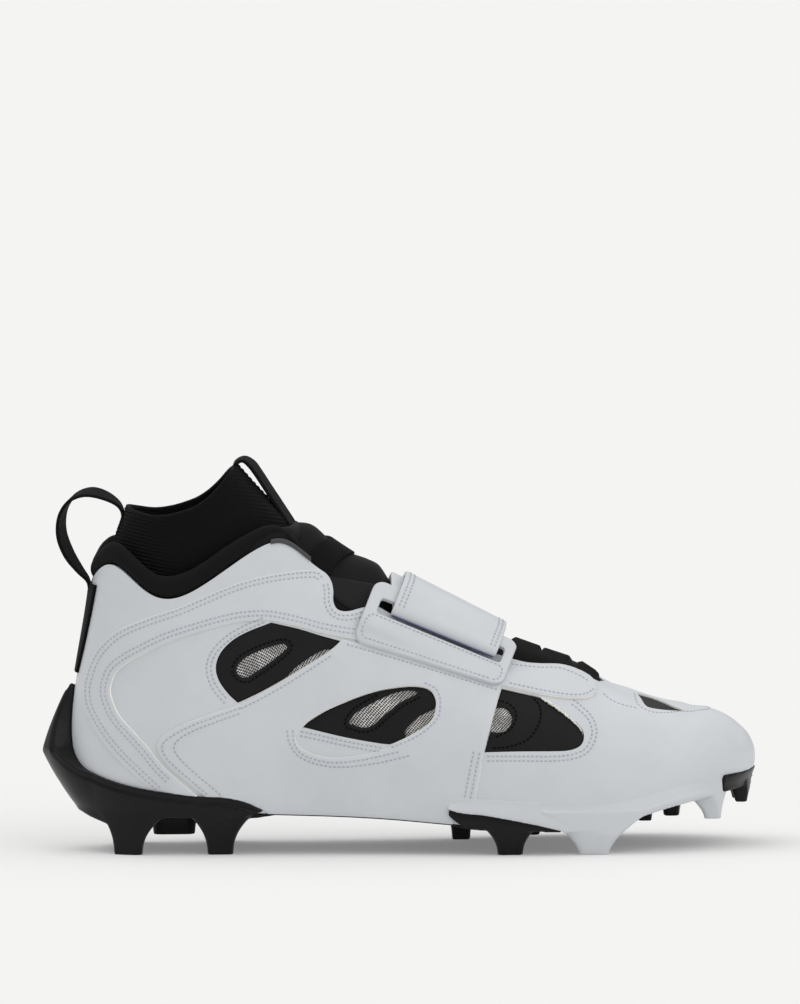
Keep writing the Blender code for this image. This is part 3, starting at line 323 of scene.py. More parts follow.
DARK_THREAD = finish("dark_thread", ((0.0014, 0.0014, 0.0014), (0.0022, 0.0022, 0.0022)), (0.6, 0.75),
                     (0.3, 0.0002), grain, {"Size": 4000.0}, Specular_IOR_Level=0.1)
FOAM = finish("grey_sock_liner", ((0.09, 0.09, 0.095), (0.11, 0.11, 0.115)), (0.85, 0.95), (0.4, 0.0003),
              grain, {"Size": 1800.0})
FACING = finish("grey_facing", ((0.055, 0.055, 0.06), (0.065, 0.065, 0.07)), (0.8, 0.9), (0.3, 0.0003),
                weave, {"Along": 1200.0, "Across": 1200.0}, uv=True)
print("finishes:", len([m for m in bpy.data.materials if m.use_nodes]))

# %% [markdown]
# ## The form of the last
# The upper's outer face is one smooth surface: a table of sections round the shoe, each a curve from the
# feather edge at the sole up to the collar or throat. u counts millimetres round the feather edge from the
# back seam over the outer side, v goes from 0 at the sole to 1 at the top. Everything sewn to the upper is
# drawn on this surface, so overlays and stitches follow it from every side.

# %% Sections of the upper
# Columns: x, y, z of the feather edge, rise and flare above it, then x, y, z of the top edge, reach and drop
# below it.
SECTIONS = (
    ("back seam", -138.0, 0.0, 20.0, 30.0, 11.0, -132.5, 0.0, 117.0, 3.5, 32.0),
    ("heel quarter, outer", -127.0, -20.0, 20.0, 32.0, 9.0, -124.0, -21.0, 125.0, 3.0, 34.0),
    ("heel side, outer", -110.0, -30.0, 19.5, 30.0, 7.0, -109.0, -30.2, 114.0, 2.0, 30.0),
    ("ankle, outer", -85.0, -33.5, 19.0, 30.0, 6.0, -87.0, -33.2, 115.0, 2.0, 32.0),
    ("quarter, outer", -57.0, -35.5, 18.0, 34.0, 6.0, -56.0, -28.5, 134.0, 4.0, 40.0),
    ("eyestay top, outer", -31.0, -37.5, 17.2, 32.0, 5.5, -37.0, -24.0, 125.5, 10.0, 30.0),
    ("instep, outer", 0.0, -41.5, 15.5, 28.0, 5.0, 0.0, -25.0, 101.0, 13.0, 15.0),
    ("waist front, outer", 30.0, -46.0, 13.0, 27.0, 4.5, 27.0, -21.5, 90.0, 18.0, 9.0),
    ("ball, outer", 58.0, -49.5, 12.4, 27.0, 4.5, 53.0, -17.5, 81.2, 23.0, 6.0),
    ("ball front, outer", 86.0, -49.0, 14.6, 26.0, 4.5, 71.0, -14.5, 78.6, 28.0, 6.0),
    ("toe side, outer", 113.0, -41.5, 22.0, 24.0, 6.0, 82.5, -9.5, 73.4, 31.0, 7.0),
    ("toe corner, outer", 136.0, -25.0, 26.6, 25.0, 9.5, 87.0, -4.5, 71.6, 37.0, 12.5),
    ("toe tip", 149.0, 3.0, 28.4, 23.0, 10.5, 88.5, 0.5, 71.4, 44.0, 13.5),
    ("toe corner, inner", 142.0, 27.0, 27.4, 24.0, 9.5, 87.0, 5.5, 71.4, 36.0, 13.0),
    ("toe side, inner", 121.0, 43.0, 23.8, 23.0, 6.0, 82.5, 10.5, 73.0, 29.0, 8.0),
    ("ball front, inner", 95.0, 48.5, 16.4, 26.0, 4.5, 71.0, 15.0, 78.6, 28.0, 6.0),
    ("ball, inner", 66.0, 47.0, 12.4, 27.0, 4.5, 53.0, 18.0, 81.2, 23.0, 6.0),
    ("waist front, inner", 32.0, 39.5, 13.6, 27.0, 4.5, 27.0, 21.5, 90.0, 16.0, 9.0),
    ("instep, inner", 0.0, 34.5, 17.0, 28.0, 5.0, 0.0, 24.5, 101.0, 11.0, 15.0),
    ("eyestay top, inner", -31.0, 32.5, 19.0, 32.0, 5.5, -37.0, 23.5, 125.5, 9.0, 30.0),
    ("quarter, inner", -57.0, 32.5, 19.5, 34.0, 6.0, -56.0, 28.0, 134.0, 4.0, 40.0),
    ("ankle, inner", -85.0, 32.5, 20.0, 30.0, 6.0, -87.0, 32.7, 115.0, 2.0, 32.0),
    ("heel side, inner", -110.0, 29.5, 20.0, 30.0, 7.0, -109.0, 29.8, 114.0, 2.0, 30.0),
    ("heel quarter, inner", -127.0, 20.0, 20.0, 32.0, 9.0, -124.0, 21.0, 125.0, 3.0, 34.0),
)
ROW = {row[0]: index for index, row in enumerate(SECTIONS)}
TABLE = np.array([row[1:] for row in SECTIONS])

# %% Smooth closed curve through the sections
class ClosedSpline:
    """Smooth closed curve through table rows, measured in millimetres along the feather edge."""

    def __init__(self, values):
        edge = values[:, :3]
        self.step = np.linalg.norm(np.roll(edge, -1, axis=0) - edge, axis=1)
        self.knot = np.concatenate(([0.0], np.cumsum(self.step)[:-1]))
        self.length = float(self.step.sum())
        self.values = values
        count = len(values)
        matrix = np.zeros((count, count))
        slope = (np.roll(values, -1, axis=0) - values) / self.step[:, None]
        for i in range(count):
            matrix[i, i - 1] += self.step[i - 1] / 6.0
            matrix[i, i] += (self.step[i - 1] + self.step[i]) / 3.0
            matrix[i, (i + 1) % count] += self.step[i] / 6.0
        self.bend = np.linalg.solve(matrix, slope - np.roll(slope, 1, axis=0))

    def at(self, u):
        u = np.mod(np.asarray(u, dtype=float), self.length)
        i = np.searchsorted(self.knot, u, side="right") - 1
        j = (i + 1) % len(self.knot)
        h = self.step[i][..., None]
        b = (u - self.knot[i])[..., None] / h
        a = 1.0 - b
        curve = (a ** 3 - a) * self.bend[i] + (b ** 3 - b) * self.bend[j]
        return a * self.values[i] + b * self.values[j] + curve * h * h / 6.0


LAST = ClosedSpline(TABLE)
ROUND = LAST.length
U_TIP = LAST.knot[ROW["toe tip"]]
SIDES = (("outer", False), ("inner", True))
print("round the feather edge:", round(ROUND), "mm")

# %% Surface, normal and lookup
LEAN_FROM, LEAN_SPAN = 6.0, 20.0


def outward(u):
    """Level direction away from the shoe, square to the feather edge."""
    run = unit(LAST.at(u + 0.5)[..., :2] - LAST.at(u - 0.5)[..., :2])
    return np.stack([run[..., 1], -run[..., 0], np.zeros(u.shape)], axis=-1)


def surface(u, v):
    """Point of the upper's outer face: u round the shoe, v from feather edge 0 to top edge 1."""
    u, v = np.broadcast_arrays(np.asarray(u, dtype=float), np.asarray(v, dtype=float))
    c = LAST.at(u)
    out = outward(u)
    foot = c[..., 0:3]
    top = c[..., 5:8]
    lean = foot - top
    lean[..., 2] = 0.0
    far = np.linalg.norm(lean, axis=-1, keepdims=True)
    share = np.clip((far - LEAN_FROM) / LEAN_SPAN, 0.0, 1.0)
    aim = unit(share * lean / np.maximum(far, 1e-6) + (1.0 - share) * out)
    up = np.array([0.0, 0.0, 1.0])
    first = foot + out * c[..., 4:5] + up * c[..., 3:4]
    second = top + aim * c[..., 8:9] - up * c[..., 9:10]
    t = v[..., None]
    s = 1.0 - t
    return s ** 3 * foot + 3 * s * s * t * first + 3 * s * t * t * second + t ** 3 * top


def frame_at(u, v):
    """Point, outward normal and upward tangent of the upper's outer face."""
    along = surface(u + 0.4, v) - surface(u - 0.4, v)
    rise = surface(u, np.asarray(v) + 0.004) - surface(u, np.asarray(v) - 0.004)
    return surface(u, v), unit(np.cross(along, rise)), unit(rise)


def skin(u, v, offset):
    """Places a given height over the surface."""
    point, normal, _ = frame_at(u, v)
    return point + normal * np.asarray(offset)[..., None]


def v_at_height(u, z):
    """The v at which the wall over feather position u reaches height z."""
    low = np.full(np.shape(u), -0.2)
    high = np.full(np.shape(u), 0.98)
    for _ in range(30):
        middle = 0.5 * (low + high)
        under = surface(u, middle)[..., 2] < z
        low = np.where(under, middle, low)
        high = np.where(under, high, middle)
    return 0.5 * (low + high)


def side_span(inner, count):
    """Feather positions along the outer or the inner side."""
    return np.linspace(U_TIP, ROUND, count) if inner else np.linspace(0.0, U_TIP, count)


def u_at_x(x, inner):
    """Feather position whose edge lies at length x on the outer or the inner side."""
    u = side_span(inner, 900)
    edge_x = LAST.at(u)[:, 0]
    if inner:
        return np.interp(x, edge_x[::-1], u[::-1])
    return np.interp(x, edge_x, u)

# %% [markdown]
# Panels are drawn as the side view shows them (x, z). To lay them on the surface, a few Newton steps find
# the u and v that a place in the side view has. v is stretched to about millimetres, so outlines can be
# inset and filled with even triangles in that flat measure.

# %% From the side view to flat measure
V_SCALE = 105.0
LOOKUP = {}


def on_skin(points, inner, plane=(0, 2)):
    """Flat measure (u, v * V_SCALE) of places in the side view (x, z) or the top view (x, y)."""
    points = np.asarray(points, dtype=float)
    plane = list(plane)
    key = (inner, tuple(plane))
    if key not in LOOKUP:
        u, v = np.meshgrid(side_span(inner, 200), np.linspace(0.0, 1.0, 60), indexing="ij")
        LOOKUP[key] = (u.reshape(-1), v.reshape(-1), surface(u, v)[..., plane].reshape(-1, 2))
    look_u, look_v, seen = LOOKUP[key]
    near = [int(np.argmin(((seen - p) ** 2).sum(axis=1))) for p in points]
    u, v = look_u[near].copy(), look_v[near].copy()
    for _ in range(16):
        along = ((surface(u + 0.2, v) - surface(u - 0.2, v)) / 0.4)[:, plane]
        rise = ((surface(u, v + 0.002) - surface(u, v - 0.002)) / 0.004)[:, plane]
        miss = points - surface(u, v)[:, plane]
        area = along[:, 0] * rise[:, 1] - along[:, 1] * rise[:, 0]
        area = np.where(np.abs(area) < 2.0, np.where(area < 0, -2.0, 2.0), area)
        u = u + np.clip((miss[:, 0] * rise[:, 1] - miss[:, 1] * rise[:, 0]) / area, -3.0, 3.0)
        v = v + np.clip((along[:, 0] * miss[:, 1] - along[:, 1] * miss[:, 0]) / area, -0.04, 0.04)
        v = np.clip(v, 0.0, 1.0)
    return np.stack([u, v * V_SCALE], axis=1)


def lift(flat, offset):
    """Places a given height over the surface, from flat measure."""
    height = np.broadcast_to(np.asarray(offset, dtype=float), flat.shape[:1])
    return skin(flat[:, 0], flat[:, 1] / V_SCALE, height)


def facing_of(flat):
    """Outward directions at places in flat measure."""
    return frame_at(flat[:, 0], flat[:, 1] / V_SCALE)[1]

# %% Curves: closed outlines and open paths, smooth between corners
def between(p0, p1, p2, p3, t):
    """Smooth curve from p1 to p2, with the points before and after them."""
    return 0.5 * (2 * p1 + (p2 - p0) * t + (2 * p0 - 5 * p1 + 4 * p2 - p3) * t * t
                  + (3 * p1 - p0 - 3 * p2 + p3) * t ** 3)


def outline(points, step=1.2):
    """Closed outline: a third value marks a corner, the stretches between are smooth."""
    places = np.array([p[:2] for p in points], dtype=float)
    corner = [len(p) == 3 for p in points]
    made = []
    for i in range(len(points)):
        after, later = (i + 1) % len(points), (i + 2) % len(points)
        p0, p3 = places[i if corner[i] else i - 1], places[after if corner[after] else later]
        parts = max(1, int(round(math.dist(places[i], places[after]) / step)))
        made += [between(p0, places[i], places[after], p3, k / parts) for k in range(parts)]
    return np.array(made)


def smooth_path(points, step=1.0):
    """Open curve through points of any dimension, at even spacing."""
    points = np.asarray(points, dtype=float)
    ends = np.concatenate([2 * points[:1] - points[1:2], points, 2 * points[-1:] - points[-2:-1]])
    t = np.linspace(0.0, 1.0, 24, endpoint=False)[:, None]
    made = [between(*ends[i - 1:i + 3], t) for i in range(1, len(ends) - 2)]
    return evenly(np.concatenate(made + [points[-1:]]), step)


def evenly(points, step):
    """The same path with places at even spacing."""
    run = np.concatenate([[0.0], np.cumsum(np.linalg.norm(np.diff(points, axis=0), axis=1))])
    count = max(2, int(round(run[-1] / step)) + 1)
    at = np.linspace(0.0, run[-1], count)
    return np.stack([np.interp(at, run, points[:, k]) for k in range(points.shape[1])], axis=1)

# %% Insets, areas and shifts
def inset(shape, distance):
    """The same closed outline drawn in by a distance."""
    ahead, behind = np.roll(shape, -1, axis=0), np.roll(shape, 1, axis=0)
    one, two = unit(shape - behind), unit(ahead - shape)
    side = 1.0 if turning(shape) > 0 else -1.0
    normal = unit(np.stack([-(one + two)[:, 1], (one + two)[:, 0]], axis=1) * side)
    across = np.stack([-one[:, 1], one[:, 0]], axis=1) * side
    return shape + normal * (distance / np.clip(np.sum(normal * across, axis=1), 0.5, 1.0))[:, None]


def turning(shape):
    """Area of a closed outline, negative if it runs clockwise."""
    ahead = np.roll(shape, -1, axis=0)
    return 0.5 * np.sum(shape[:, 0] * ahead[:, 1] - ahead[:, 0] * shape[:, 1])


def shifted(path, distance):
    """Open path in the side view moved to its left by a distance."""
    run = unit(np.gradient(path, axis=0))
    return path + np.stack([-run[:, 1], run[:, 0]], axis=1) * distance

# %% [markdown]
# A cut piece of material is a flat outline filled with even triangles. Blender's constrained Delaunay
# function keeps the outline's own edges, so a panel's border is as crisp as its outline.

# %% Fill an outline with triangles
ROW_SPACING, CLEAR_OF_EDGE = 0.866, 0.55


def inside(shape, spots):
    """Which spots lie inside a closed outline."""
    found = np.zeros(len(spots), dtype=bool)
    for a, b in zip(shape, np.roll(shape, -1, axis=0)):
        crosses = (a[1] > spots[:, 1]) != (b[1] > spots[:, 1])
        if b[1] != a[1]:
            found ^= crosses & (spots[:, 0] < (b[0] - a[0]) * (spots[:, 1] - a[1]) / (b[1] - a[1]) + a[0])
    return found


def within(rings, spots):
    """Which spots lie inside the first ring and outside the holes after it."""
    found = inside(rings[0], spots)
    for hole in rings[1:]:
        found &= ~inside(hole, spots)
    return found


def fill(rings, step):
    """Triangles between the first ring and the holes after it; gives places, triangles, ring numbers."""
    low, high = rings[0].min(axis=0), rings[0].max(axis=0)
    rows = []
    for k, y in enumerate(np.arange(low[1] + 0.4 * step, high[1], ROW_SPACING * step)):
        x = np.arange(low[0] + (0.25 + 0.5 * (k % 2)) * step, high[0], step)
        rows.append(np.stack([x, np.full(x.shape, y)], axis=1))
    spots = np.concatenate(rows)
    spots = spots[within(rings, spots)]
    clear = np.ones(len(spots), dtype=bool)
    for p in np.concatenate(rings):
        clear &= ((spots - p) ** 2).sum(axis=1) > (CLEAR_OF_EDGE * step) ** 2
    points = np.concatenate([*rings, spots[clear]])
    edges, starts, start = [], [], 0
    for ring in rings:
        count = len(ring)
        edges += [(start + i, start + (i + 1) % count) for i in range(count)]
        starts.append((start, count))
        start += count
    made = delaunay_2d_cdt([Vector(p) for p in points], edges, [], 1, 1e-7)
    flat = np.array([tuple(p) for p in made[0]])
    number = {old: new for new, olds in enumerate(made[3]) for old in olds}
    faces = np.array([f for f in made[2] if len(f) == 3])
    faces = faces[within(rings, flat[faces].mean(axis=1))]
    a, b, c = flat[faces[:, 0]], flat[faces[:, 1]], flat[faces[:, 2]]
    turned = (b[:, 0] - a[:, 0]) * (c[:, 1] - a[:, 1]) < (b[:, 1] - a[:, 1]) * (c[:, 0] - a[:, 0])
    faces[turned] = faces[turned][:, ::-1]
    return flat, faces, [np.array([number[s + i] for i in range(n)]) for s, n in starts]

# %% Make a piece from places and faces
MADE = []


def piece(name, points, faces, paints, nodes=(), which=None, uv=None, angle=35.0):
    """New object on the shoe, smooth but for edges sharper than the angle."""
    mesh = bpy.data.meshes.new(name)
    mesh.from_pydata(metres(points).tolist(), [], [tuple(int(i) for i in f) for f in faces])
    for paint in paints:
        mesh.materials.append(paint)
    if which is not None:
        mesh.polygons.foreach_set("material_index", np.asarray(which, dtype=np.int32))
    if uv is not None:
        layer = mesh.uv_layers.new(name="UVMap")
        index = np.zeros(len(mesh.loops), dtype=np.int32)
        mesh.loops.foreach_get("vertex_index", index)
        layer.data.foreach_set("uv", (np.asarray(uv, dtype=float)[index] * MILLIMETRE).reshape(-1))
    mesh.shade_smooth()
    mesh.set_sharp_from_angle(angle=math.radians(angle))
    mesh.validate()
    made = bpy.data.objects.new(name, mesh)
    scene.collection.objects.link(made)
    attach(made, "root")
    if nodes:
        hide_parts(*nodes)
    MADE.append(made)
    return made


def strip(one, two, closed=True):
    """Quads between two equal rows of point numbers."""
    count = len(one)
    return [(one[i], one[(i + 1) % count], two[(i + 1) % count], two[i])
            for i in range(count if closed else count - 1)]

# %% [markdown]
# ## Upper
# The base of the upper is a single layer of white synthetic with openings for the dark panels. Real windows
# are die-cut before lasting, so they are cut in flat measure and then laid on the last. The edge of the cut
# shows as a thin cream line. A few soft troughs and swells keep it from looking like a moulding.

# %% Outlines on the side of the upper
WINDOWS = {
    "rear": ((-55.0, 100.3, 1), (-43.0, 97.4), (-34.4, 94.7), (-25.2, 92.1, 1), (-30.1, 88.0),
             (-43.0, 80.1), (-51.6, 75.0), (-60.2, 70.4), (-69.7, 66.0, 1), (-73.1, 69.1), (-76.5, 73.4),
             (-78.3, 76.9), (-79.1, 80.7), (-78.3, 85.0), (-75.7, 89.3), (-70.9, 93.5), (-64.5, 96.8)),
    "middle": ((-41.9, 55.4, 1), (-38.7, 58.2), (-32.2, 62.1), (-25.8, 65.0), (-17.2, 68.4), (-8.6, 70.9),
               (0.0, 72.2), (5.5, 72.5), (10.7, 71.9), (13.7, 70.2), (15.3, 67.2), (15.5, 64.2),
               (14.6, 60.0), (11.4, 56.1), (4.3, 51.8), (-2.1, 48.8), (-4.6, 47.9, 1), (-8.6, 48.3),
               (-17.2, 49.7), (-25.8, 51.4), (-34.4, 53.5)),
    "front": ((43.9, 71.2, 1), (51.6, 69.4), (60.2, 67.4), (64.5, 65.4), (68.8, 62.5), (73.1, 59.2),
              (76.5, 56.2), (78.7, 53.2), (79.1, 50.3), (78.2, 47.8), (76.2, 46.2), (72.5, 45.1),
              (66.6, 44.8), (51.6, 44.8), (36.1, 44.5, 1), (39.1, 55.6), (41.7, 64.6)),
}
TOE_LOW = ((102.6, 66.6), (104.4, 64.9), (106.4, 62.5), (109.2, 61.4), (114.9, 60.1), (122.2, 58.4))
TOE_HIGH = ((122.0, 14.1), (118.3, 11.5), (113.4, 6.1), (108.5, 3.9), (103.2, 5.2))
THROAT_NOTCH = ((-38.4, 125.9), (-34.4, 122.8), (-31.0, 120.3), (-28.9, 116.9), (-28.2, 113.0),
                (-28.3, 109.4), (-27.2, 106.2), (-24.8, 104.7), (-21.2, 104.6), (-17.0, 105.6),
                (-12.0, 106.6), (-9.0, 107.2))
rings = {}
for side, inner in SIDES:
    for name, points in WINDOWS.items():
        rings[name, side] = on_skin(outline(points), inner)
    crest = smooth_path(TOE_HIGH, 1.2) * np.array([1.0, 1.0 if inner else -1.0])
    rings["toe", side] = np.concatenate([on_skin(smooth_path(TOE_LOW, 1.2), inner),
                                         on_skin(crest, inner, (0, 1))])
print("windows:", {key: len(ring) for key, ring in rings.items()})

# %% Soft troughs and swells: x, z, toward x, z, depth, half width
CREASES = (
    (62.0, 76.0, 96.0, 58.0, 0.35, 6.0), (78.0, 74.0, 104.0, 63.0, 0.30, 5.0),
    (84.0, 40.0, 112.0, 33.0, 0.30, 7.0), (-112.0, 78.0, -92.0, 60.0, 0.45, 10.0),
    (-126.0, 108.0, -104.0, 102.0, 0.35, 6.0), (-96.0, 70.0, -84.0, 84.0, -0.45, 9.0),
    (-20.0, 30.0, 24.0, 26.0, 0.55, 9.0), (-60.0, 34.0, -30.0, 30.0, 0.45, 8.0),
    (-50.0, 112.0, -34.0, 104.0, 0.25, 5.0), (106.0, 46.0, 132.0, 44.0, -0.30, 10.0),
    (96.0, 70.0, 124.0, 61.0, 1.0, 8.0), (124.0, 61.0, 148.0, 52.0, -2.3, 7.0),
    (142.0, 62.0, 154.0, 20.0, -2.3, 8.0),
)


def relief(flat):
    """Height of the base layer's troughs and swells at places in flat measure."""
    seen = surface(flat[:, 0], flat[:, 1] / V_SCALE)
    made = np.zeros(len(flat))
    for x1, z1, x2, z2, depth, half in CREASES:
        run = np.array([x2 - x1, z2 - z1])
        t = np.clip(((seen[:, 0] - x1) * run[0] + (seen[:, 2] - z1) * run[1]) / (run @ run), 0.0, 1.0)
        far = np.hypot(seen[:, 0] - x1 - t * run[0], seen[:, 2] - z1 - t * run[1])
        made -= depth * np.exp(-(far / half) ** 2) * np.sin(math.pi * np.clip(t, 0.08, 0.92))
    return made


def form(flat, offset):
    """Places over the upper's finished surface, troughs included."""
    return lift(flat, relief(flat) + offset)

# %% Border of the upper in flat measure, with the throat notch on both sides
FILL_STEP, BORDER_STEP, SEAM_PLACES = 2.0, 1.6, 50


def flat_row(u, v):
    """Row of places in flat measure."""
    return np.stack(np.broadcast_arrays(u, v), axis=1)


notch = {side: on_skin(smooth_path(THROAT_NOTCH, 1.0), inner) for side, inner in SIDES}
count = int(ROUND / BORDER_STEP)
foot_row = flat_row(np.linspace(0.0, ROUND, count), 0.0)
side_row = flat_row(ROUND, np.linspace(0.0, V_SCALE, SEAM_PLACES + 2)[1:-1])
top_rows = []
for start, end in ((0.0, notch["outer"][0, 0]), (notch["outer"][-1, 0], notch["inner"][-1, 0]),
                   (notch["inner"][0, 0], ROUND)):
    top_rows.append(flat_row(np.linspace(start, end, max(3, int((end - start) / BORDER_STEP))), V_SCALE))
top_row = np.concatenate([top_rows[0], notch["outer"][1:-1], top_rows[1], notch["inner"][::-1][1:-1],
                          top_rows[2]])
back_row = flat_row(0.0, np.linspace(V_SCALE, 0.0, SEAM_PLACES + 2)[1:-1])
border = np.concatenate([foot_row, side_row, top_row[::-1], back_row])
flat, faces, loops = fill([border] + list(rings.values()), FILL_STEP)
print("upper layer:", len(flat), "places,", len(faces), "triangles")

# %% Two layers and the walls between them
WALL, WELD = 2.0, 0.00002
half = len(flat)
points = np.concatenate([form(flat, 0.0), lift(flat, -WALL)])
uv = np.concatenate([flat, flat])
all_faces = [tuple(f) for f in faces] + [tuple(f[::-1] + half) for f in faces]
which = [0] * len(faces) + [2] * len(faces)
top_start = count + SEAM_PLACES
for row in (loops[0][:count], loops[0][top_start:top_start + len(top_row)]):
    walls = strip(row + half, row, closed=False)
    all_faces += walls
    which += [0] * len(walls)
for ring in loops[1:]:
    ring = ring[::-1] if turning(flat[ring]) > 0 else ring
    walls = strip(ring + half, ring)
    all_faces += walls
    which += [1] * len(walls)
upper_skin = piece("upper_skin", points, all_faces, (WHITE, RAW_EDGE, LINING), ("upper",), which, uv)
bpy.ops.object.select_all(action="DESELECT")
bpy.context.view_layer.objects.active = upper_skin
upper_skin.select_set(True)
bpy.ops.object.mode_set(mode="EDIT")
bpy.ops.mesh.select_all(action="SELECT")
bpy.ops.mesh.remove_doubles(threshold=WELD)
bpy.ops.object.mode_set(mode="OBJECT")
print("upper_skin:", len(upper_skin.data.polygons), "faces")

# %% [markdown]
# ## Cut pieces on the upper
# Overlays, dark panels and nets are all the same thing: a flat outline with some thickness and a softly
# turned edge. One helper lays such a piece on the upper between two heights; the cut wall can take the cream
# of a raw edge while the face keeps its own finish.

# %% Cut piece helper
def panel(name, shape, low, high, edge, step, paints, nodes, holes=(), over=form):
    """Piece between two heights over a surface, with a rounded edge and a closed underside."""
    rings = [shape if turning(shape) > 0 else shape[::-1]]
    rings += [hole[::-1] if turning(hole) > 0 else hole for hole in holes]
    sign = [1.0] + [-1.0] * len(holes)
    flat, faces, loops = fill([inset(r, s * edge) for r, s in zip(rings, sign)], step)
    count = len(flat)
    points, uv = [over(flat, high), over(flat, low)], [flat, flat]
    made = [tuple(f) for f in faces] + [tuple(f[::-1] + count) for f in faces]
    which = [0] * len(made)
    start = 2 * count
    for ring, loop, way in zip(rings, loops, sign):
        rows = [loop]
        for draw, height in ((0.3 * edge, high - 0.3 * edge), (0.0, high - edge), (0.0, low)):
            row = inset(ring, way * draw)
            points.append(over(row, height))
            uv.append(row)
            rows.append(np.arange(start, start + len(row)))
            start += len(row)
        for k in range(3):
            walls = strip(rows[k + 1], rows[k])
            made += walls
            which += [0 if k == 0 else 1] * len(walls)
        walls = strip(loop + count, rows[3])
        made += walls
        which += [0] * len(walls)
    return piece(name, np.concatenate(points), made, paints, nodes, which, np.concatenate(uv))

# %% Dark panels with net vents behind the windows
PANELS = {
    "rear": WINDOWS["rear"][:4] + ((-29.4, 88.8), (-32.0, 88.6), (-36.5, 86.6), (-41.0, 83.6),
                                   (-45.4, 80.4), (-48.2, 77.3, 1)) + WINDOWS["rear"][6:],
    "middle": WINDOWS["middle"][:11] + ((15.5, 64.6, 1), (14.4, 63.0), (8.6, 60.2), (4.3, 56.4),
                                        (1.8, 53.0), (2.6, 51.0, 1)) + WINDOWS["middle"][15:],
    "front": WINDOWS["front"][:14] + ((36.3, 44.5, 1), (38.8, 53.2, 1), (44.3, 53.3), (47.3, 55.8),
                                      (48.2, 59.5), (46.0, 62.9), (43.0, 63.7), (41.6, 63.2, 1)),
}
VENTS = {
    "rear": ((-70.1, 80.6), (-67.5, 84.5), (-62.3, 87.4), (-55.9, 89.9), (-50.3, 91.1), (-48.2, 90.2),
             (-49.5, 88.1), (-55.9, 83.1), (-62.3, 78.9), (-65.8, 76.8), (-68.8, 77.6)),
    "middle": ((-21.9, 57.3), (-19.3, 61.2), (-12.9, 65.2), (-4.3, 69.3), (2.1, 71.0), (6.6, 70.9),
               (7.4, 69.7), (0.0, 65.8), (-6.5, 60.7), (-12.0, 56.1), (-16.3, 55.2), (-20.6, 56.5)),
}
DARK_LOW, DARK_HIGH, DARK_EDGE = -1.5, -0.6, 0.3
NET_LOW, NET_HIGH, NET_EDGE = -1.9, -1.55, 0.1
PANEL_STEP, CLEAR = 1.6, 0.04


def dark_panel(node, shape, holes=()):
    """Black panel sunk a little below the face of the upper."""
    panel(node + "_panel", inset(shape, CLEAR), DARK_LOW, DARK_HIGH, DARK_EDGE, PANEL_STEP,
          (BLACK_PANEL, BLACK_PANEL), (node,), holes)


for side, inner in SIDES:
    for name, points in PANELS.items():
        node = f"vent_{name}_{side}"
        holes = [on_skin(outline(VENTS[name], 0.9), inner)] if name in VENTS else []
        dark_panel(node, on_skin(outline(points), inner), holes)
        panel(node + "_net", inset(rings[name, side], CLEAR), NET_LOW, NET_HIGH, NET_EDGE, PANEL_STEP,
              (NET, NET), (node,))
    dark_panel(f"vent_toe_{side}", rings["toe", side])
print("dark pieces:", len([o for o in MADE if o.name.startswith("vent")]))

# %% [markdown]
# The saddle runs from the sole up to the strap ring and leaves an opening round the middle window. The heel
# band curves round the heel; its outer edge is skived thin toward the top, so only its stitches show there.

# %% Outlines of saddle, heel band and eyestay
SADDLE = ((-24.6, 92.6, 1), (-30.3, 87.5), (-43.2, 79.4), (-51.8, 74.3), (-60.4, 69.7), (-69.4, 65.3),
          (-80.0, 61.8), (-91.4, 57.8), (-100.4, 53.2), (-104.4, 49.2), (-104.4, 45.8), (-102.2, 41.8),
          (-97.4, 36.6), (-86.0, 27.0), (-82.0, 23.4, 1), (-66.0, 22.6, 1), (-57.5, 19.0, 1),
          (-56.0, 6.0, 1), (20.0, 4.0, 1), (24.0, 20.4, 1), (31.8, 21.4, 1), (34.6, 36.9), (35.9, 44.5),
          (38.5, 53.8), (41.5, 64.2), (44.0, 73.4, 1), (10.0, 85.0, 1))
SADDLE_HOLE = WINDOWS["middle"][:15] + ((-2.1, 48.6), (-4.6, 47.0), (-10.8, 44.7), (-21.5, 42.7),
                                        (-30.1, 42.3), (-38.7, 44.4), (-43.9, 47.8), (-44.8, 51.6))
ARC_OUTER = ((-34.4, 122.3), (-48.0, 121.6), (-64.5, 118.6), (-81.7, 112.8), (-94.6, 107.2),
             (-107.5, 103.0), (-120.4, 97.4), (-128.1, 90.8), (-132.9, 83.2), (-135.9, 74.4),
             (-136.7, 69.2), (-136.3, 63.7), (-133.3, 57.6), (-129.0, 50.1), (-122.6, 42.2), (-113.2, 33.4),
             (-106.3, 27.0))
ARC_INNER = ((-9.0, 90.6), (-20.0, 92.8), (-26.4, 93.9), (-34.4, 95.6), (-43.0, 98.1), (-55.0, 100.9),
             (-64.5, 101.1), (-73.1, 99.9), (-86.0, 96.6), (-98.9, 92.4), (-107.5, 88.4), (-116.1, 83.6),
             (-121.3, 79.6), (-123.4, 75.3), (-124.3, 71.0), (-123.4, 66.7), (-120.4, 60.4), (-114.0, 53.2),
             (-108.0, 46.5), (-102.8, 39.8), (-97.6, 34.6), (-87.0, 25.4))
EYESTAY = ((40.0, 82.6, 1), (51.6, 80.6), (60.2, 79.5), (69.0, 79.0), (72.2, 78.2), (77.4, 76.2),
           (81.7, 73.9), (84.7, 71.2), (86.0, 69.3), (83.8, 66.9), (75.2, 66.1), (66.6, 67.1), (62.4, 67.7),
           (51.6, 70.1), (40.0, 73.2, 1))
ARC_END = ((-9.4, 105.8), (-12.4, 105.6), (-17.0, 104.6), (-21.2, 103.6), (-25.4, 103.8), (-28.2, 105.8),
           (-29.3, 109.2), (-29.2, 113.0), (-29.8, 116.6))

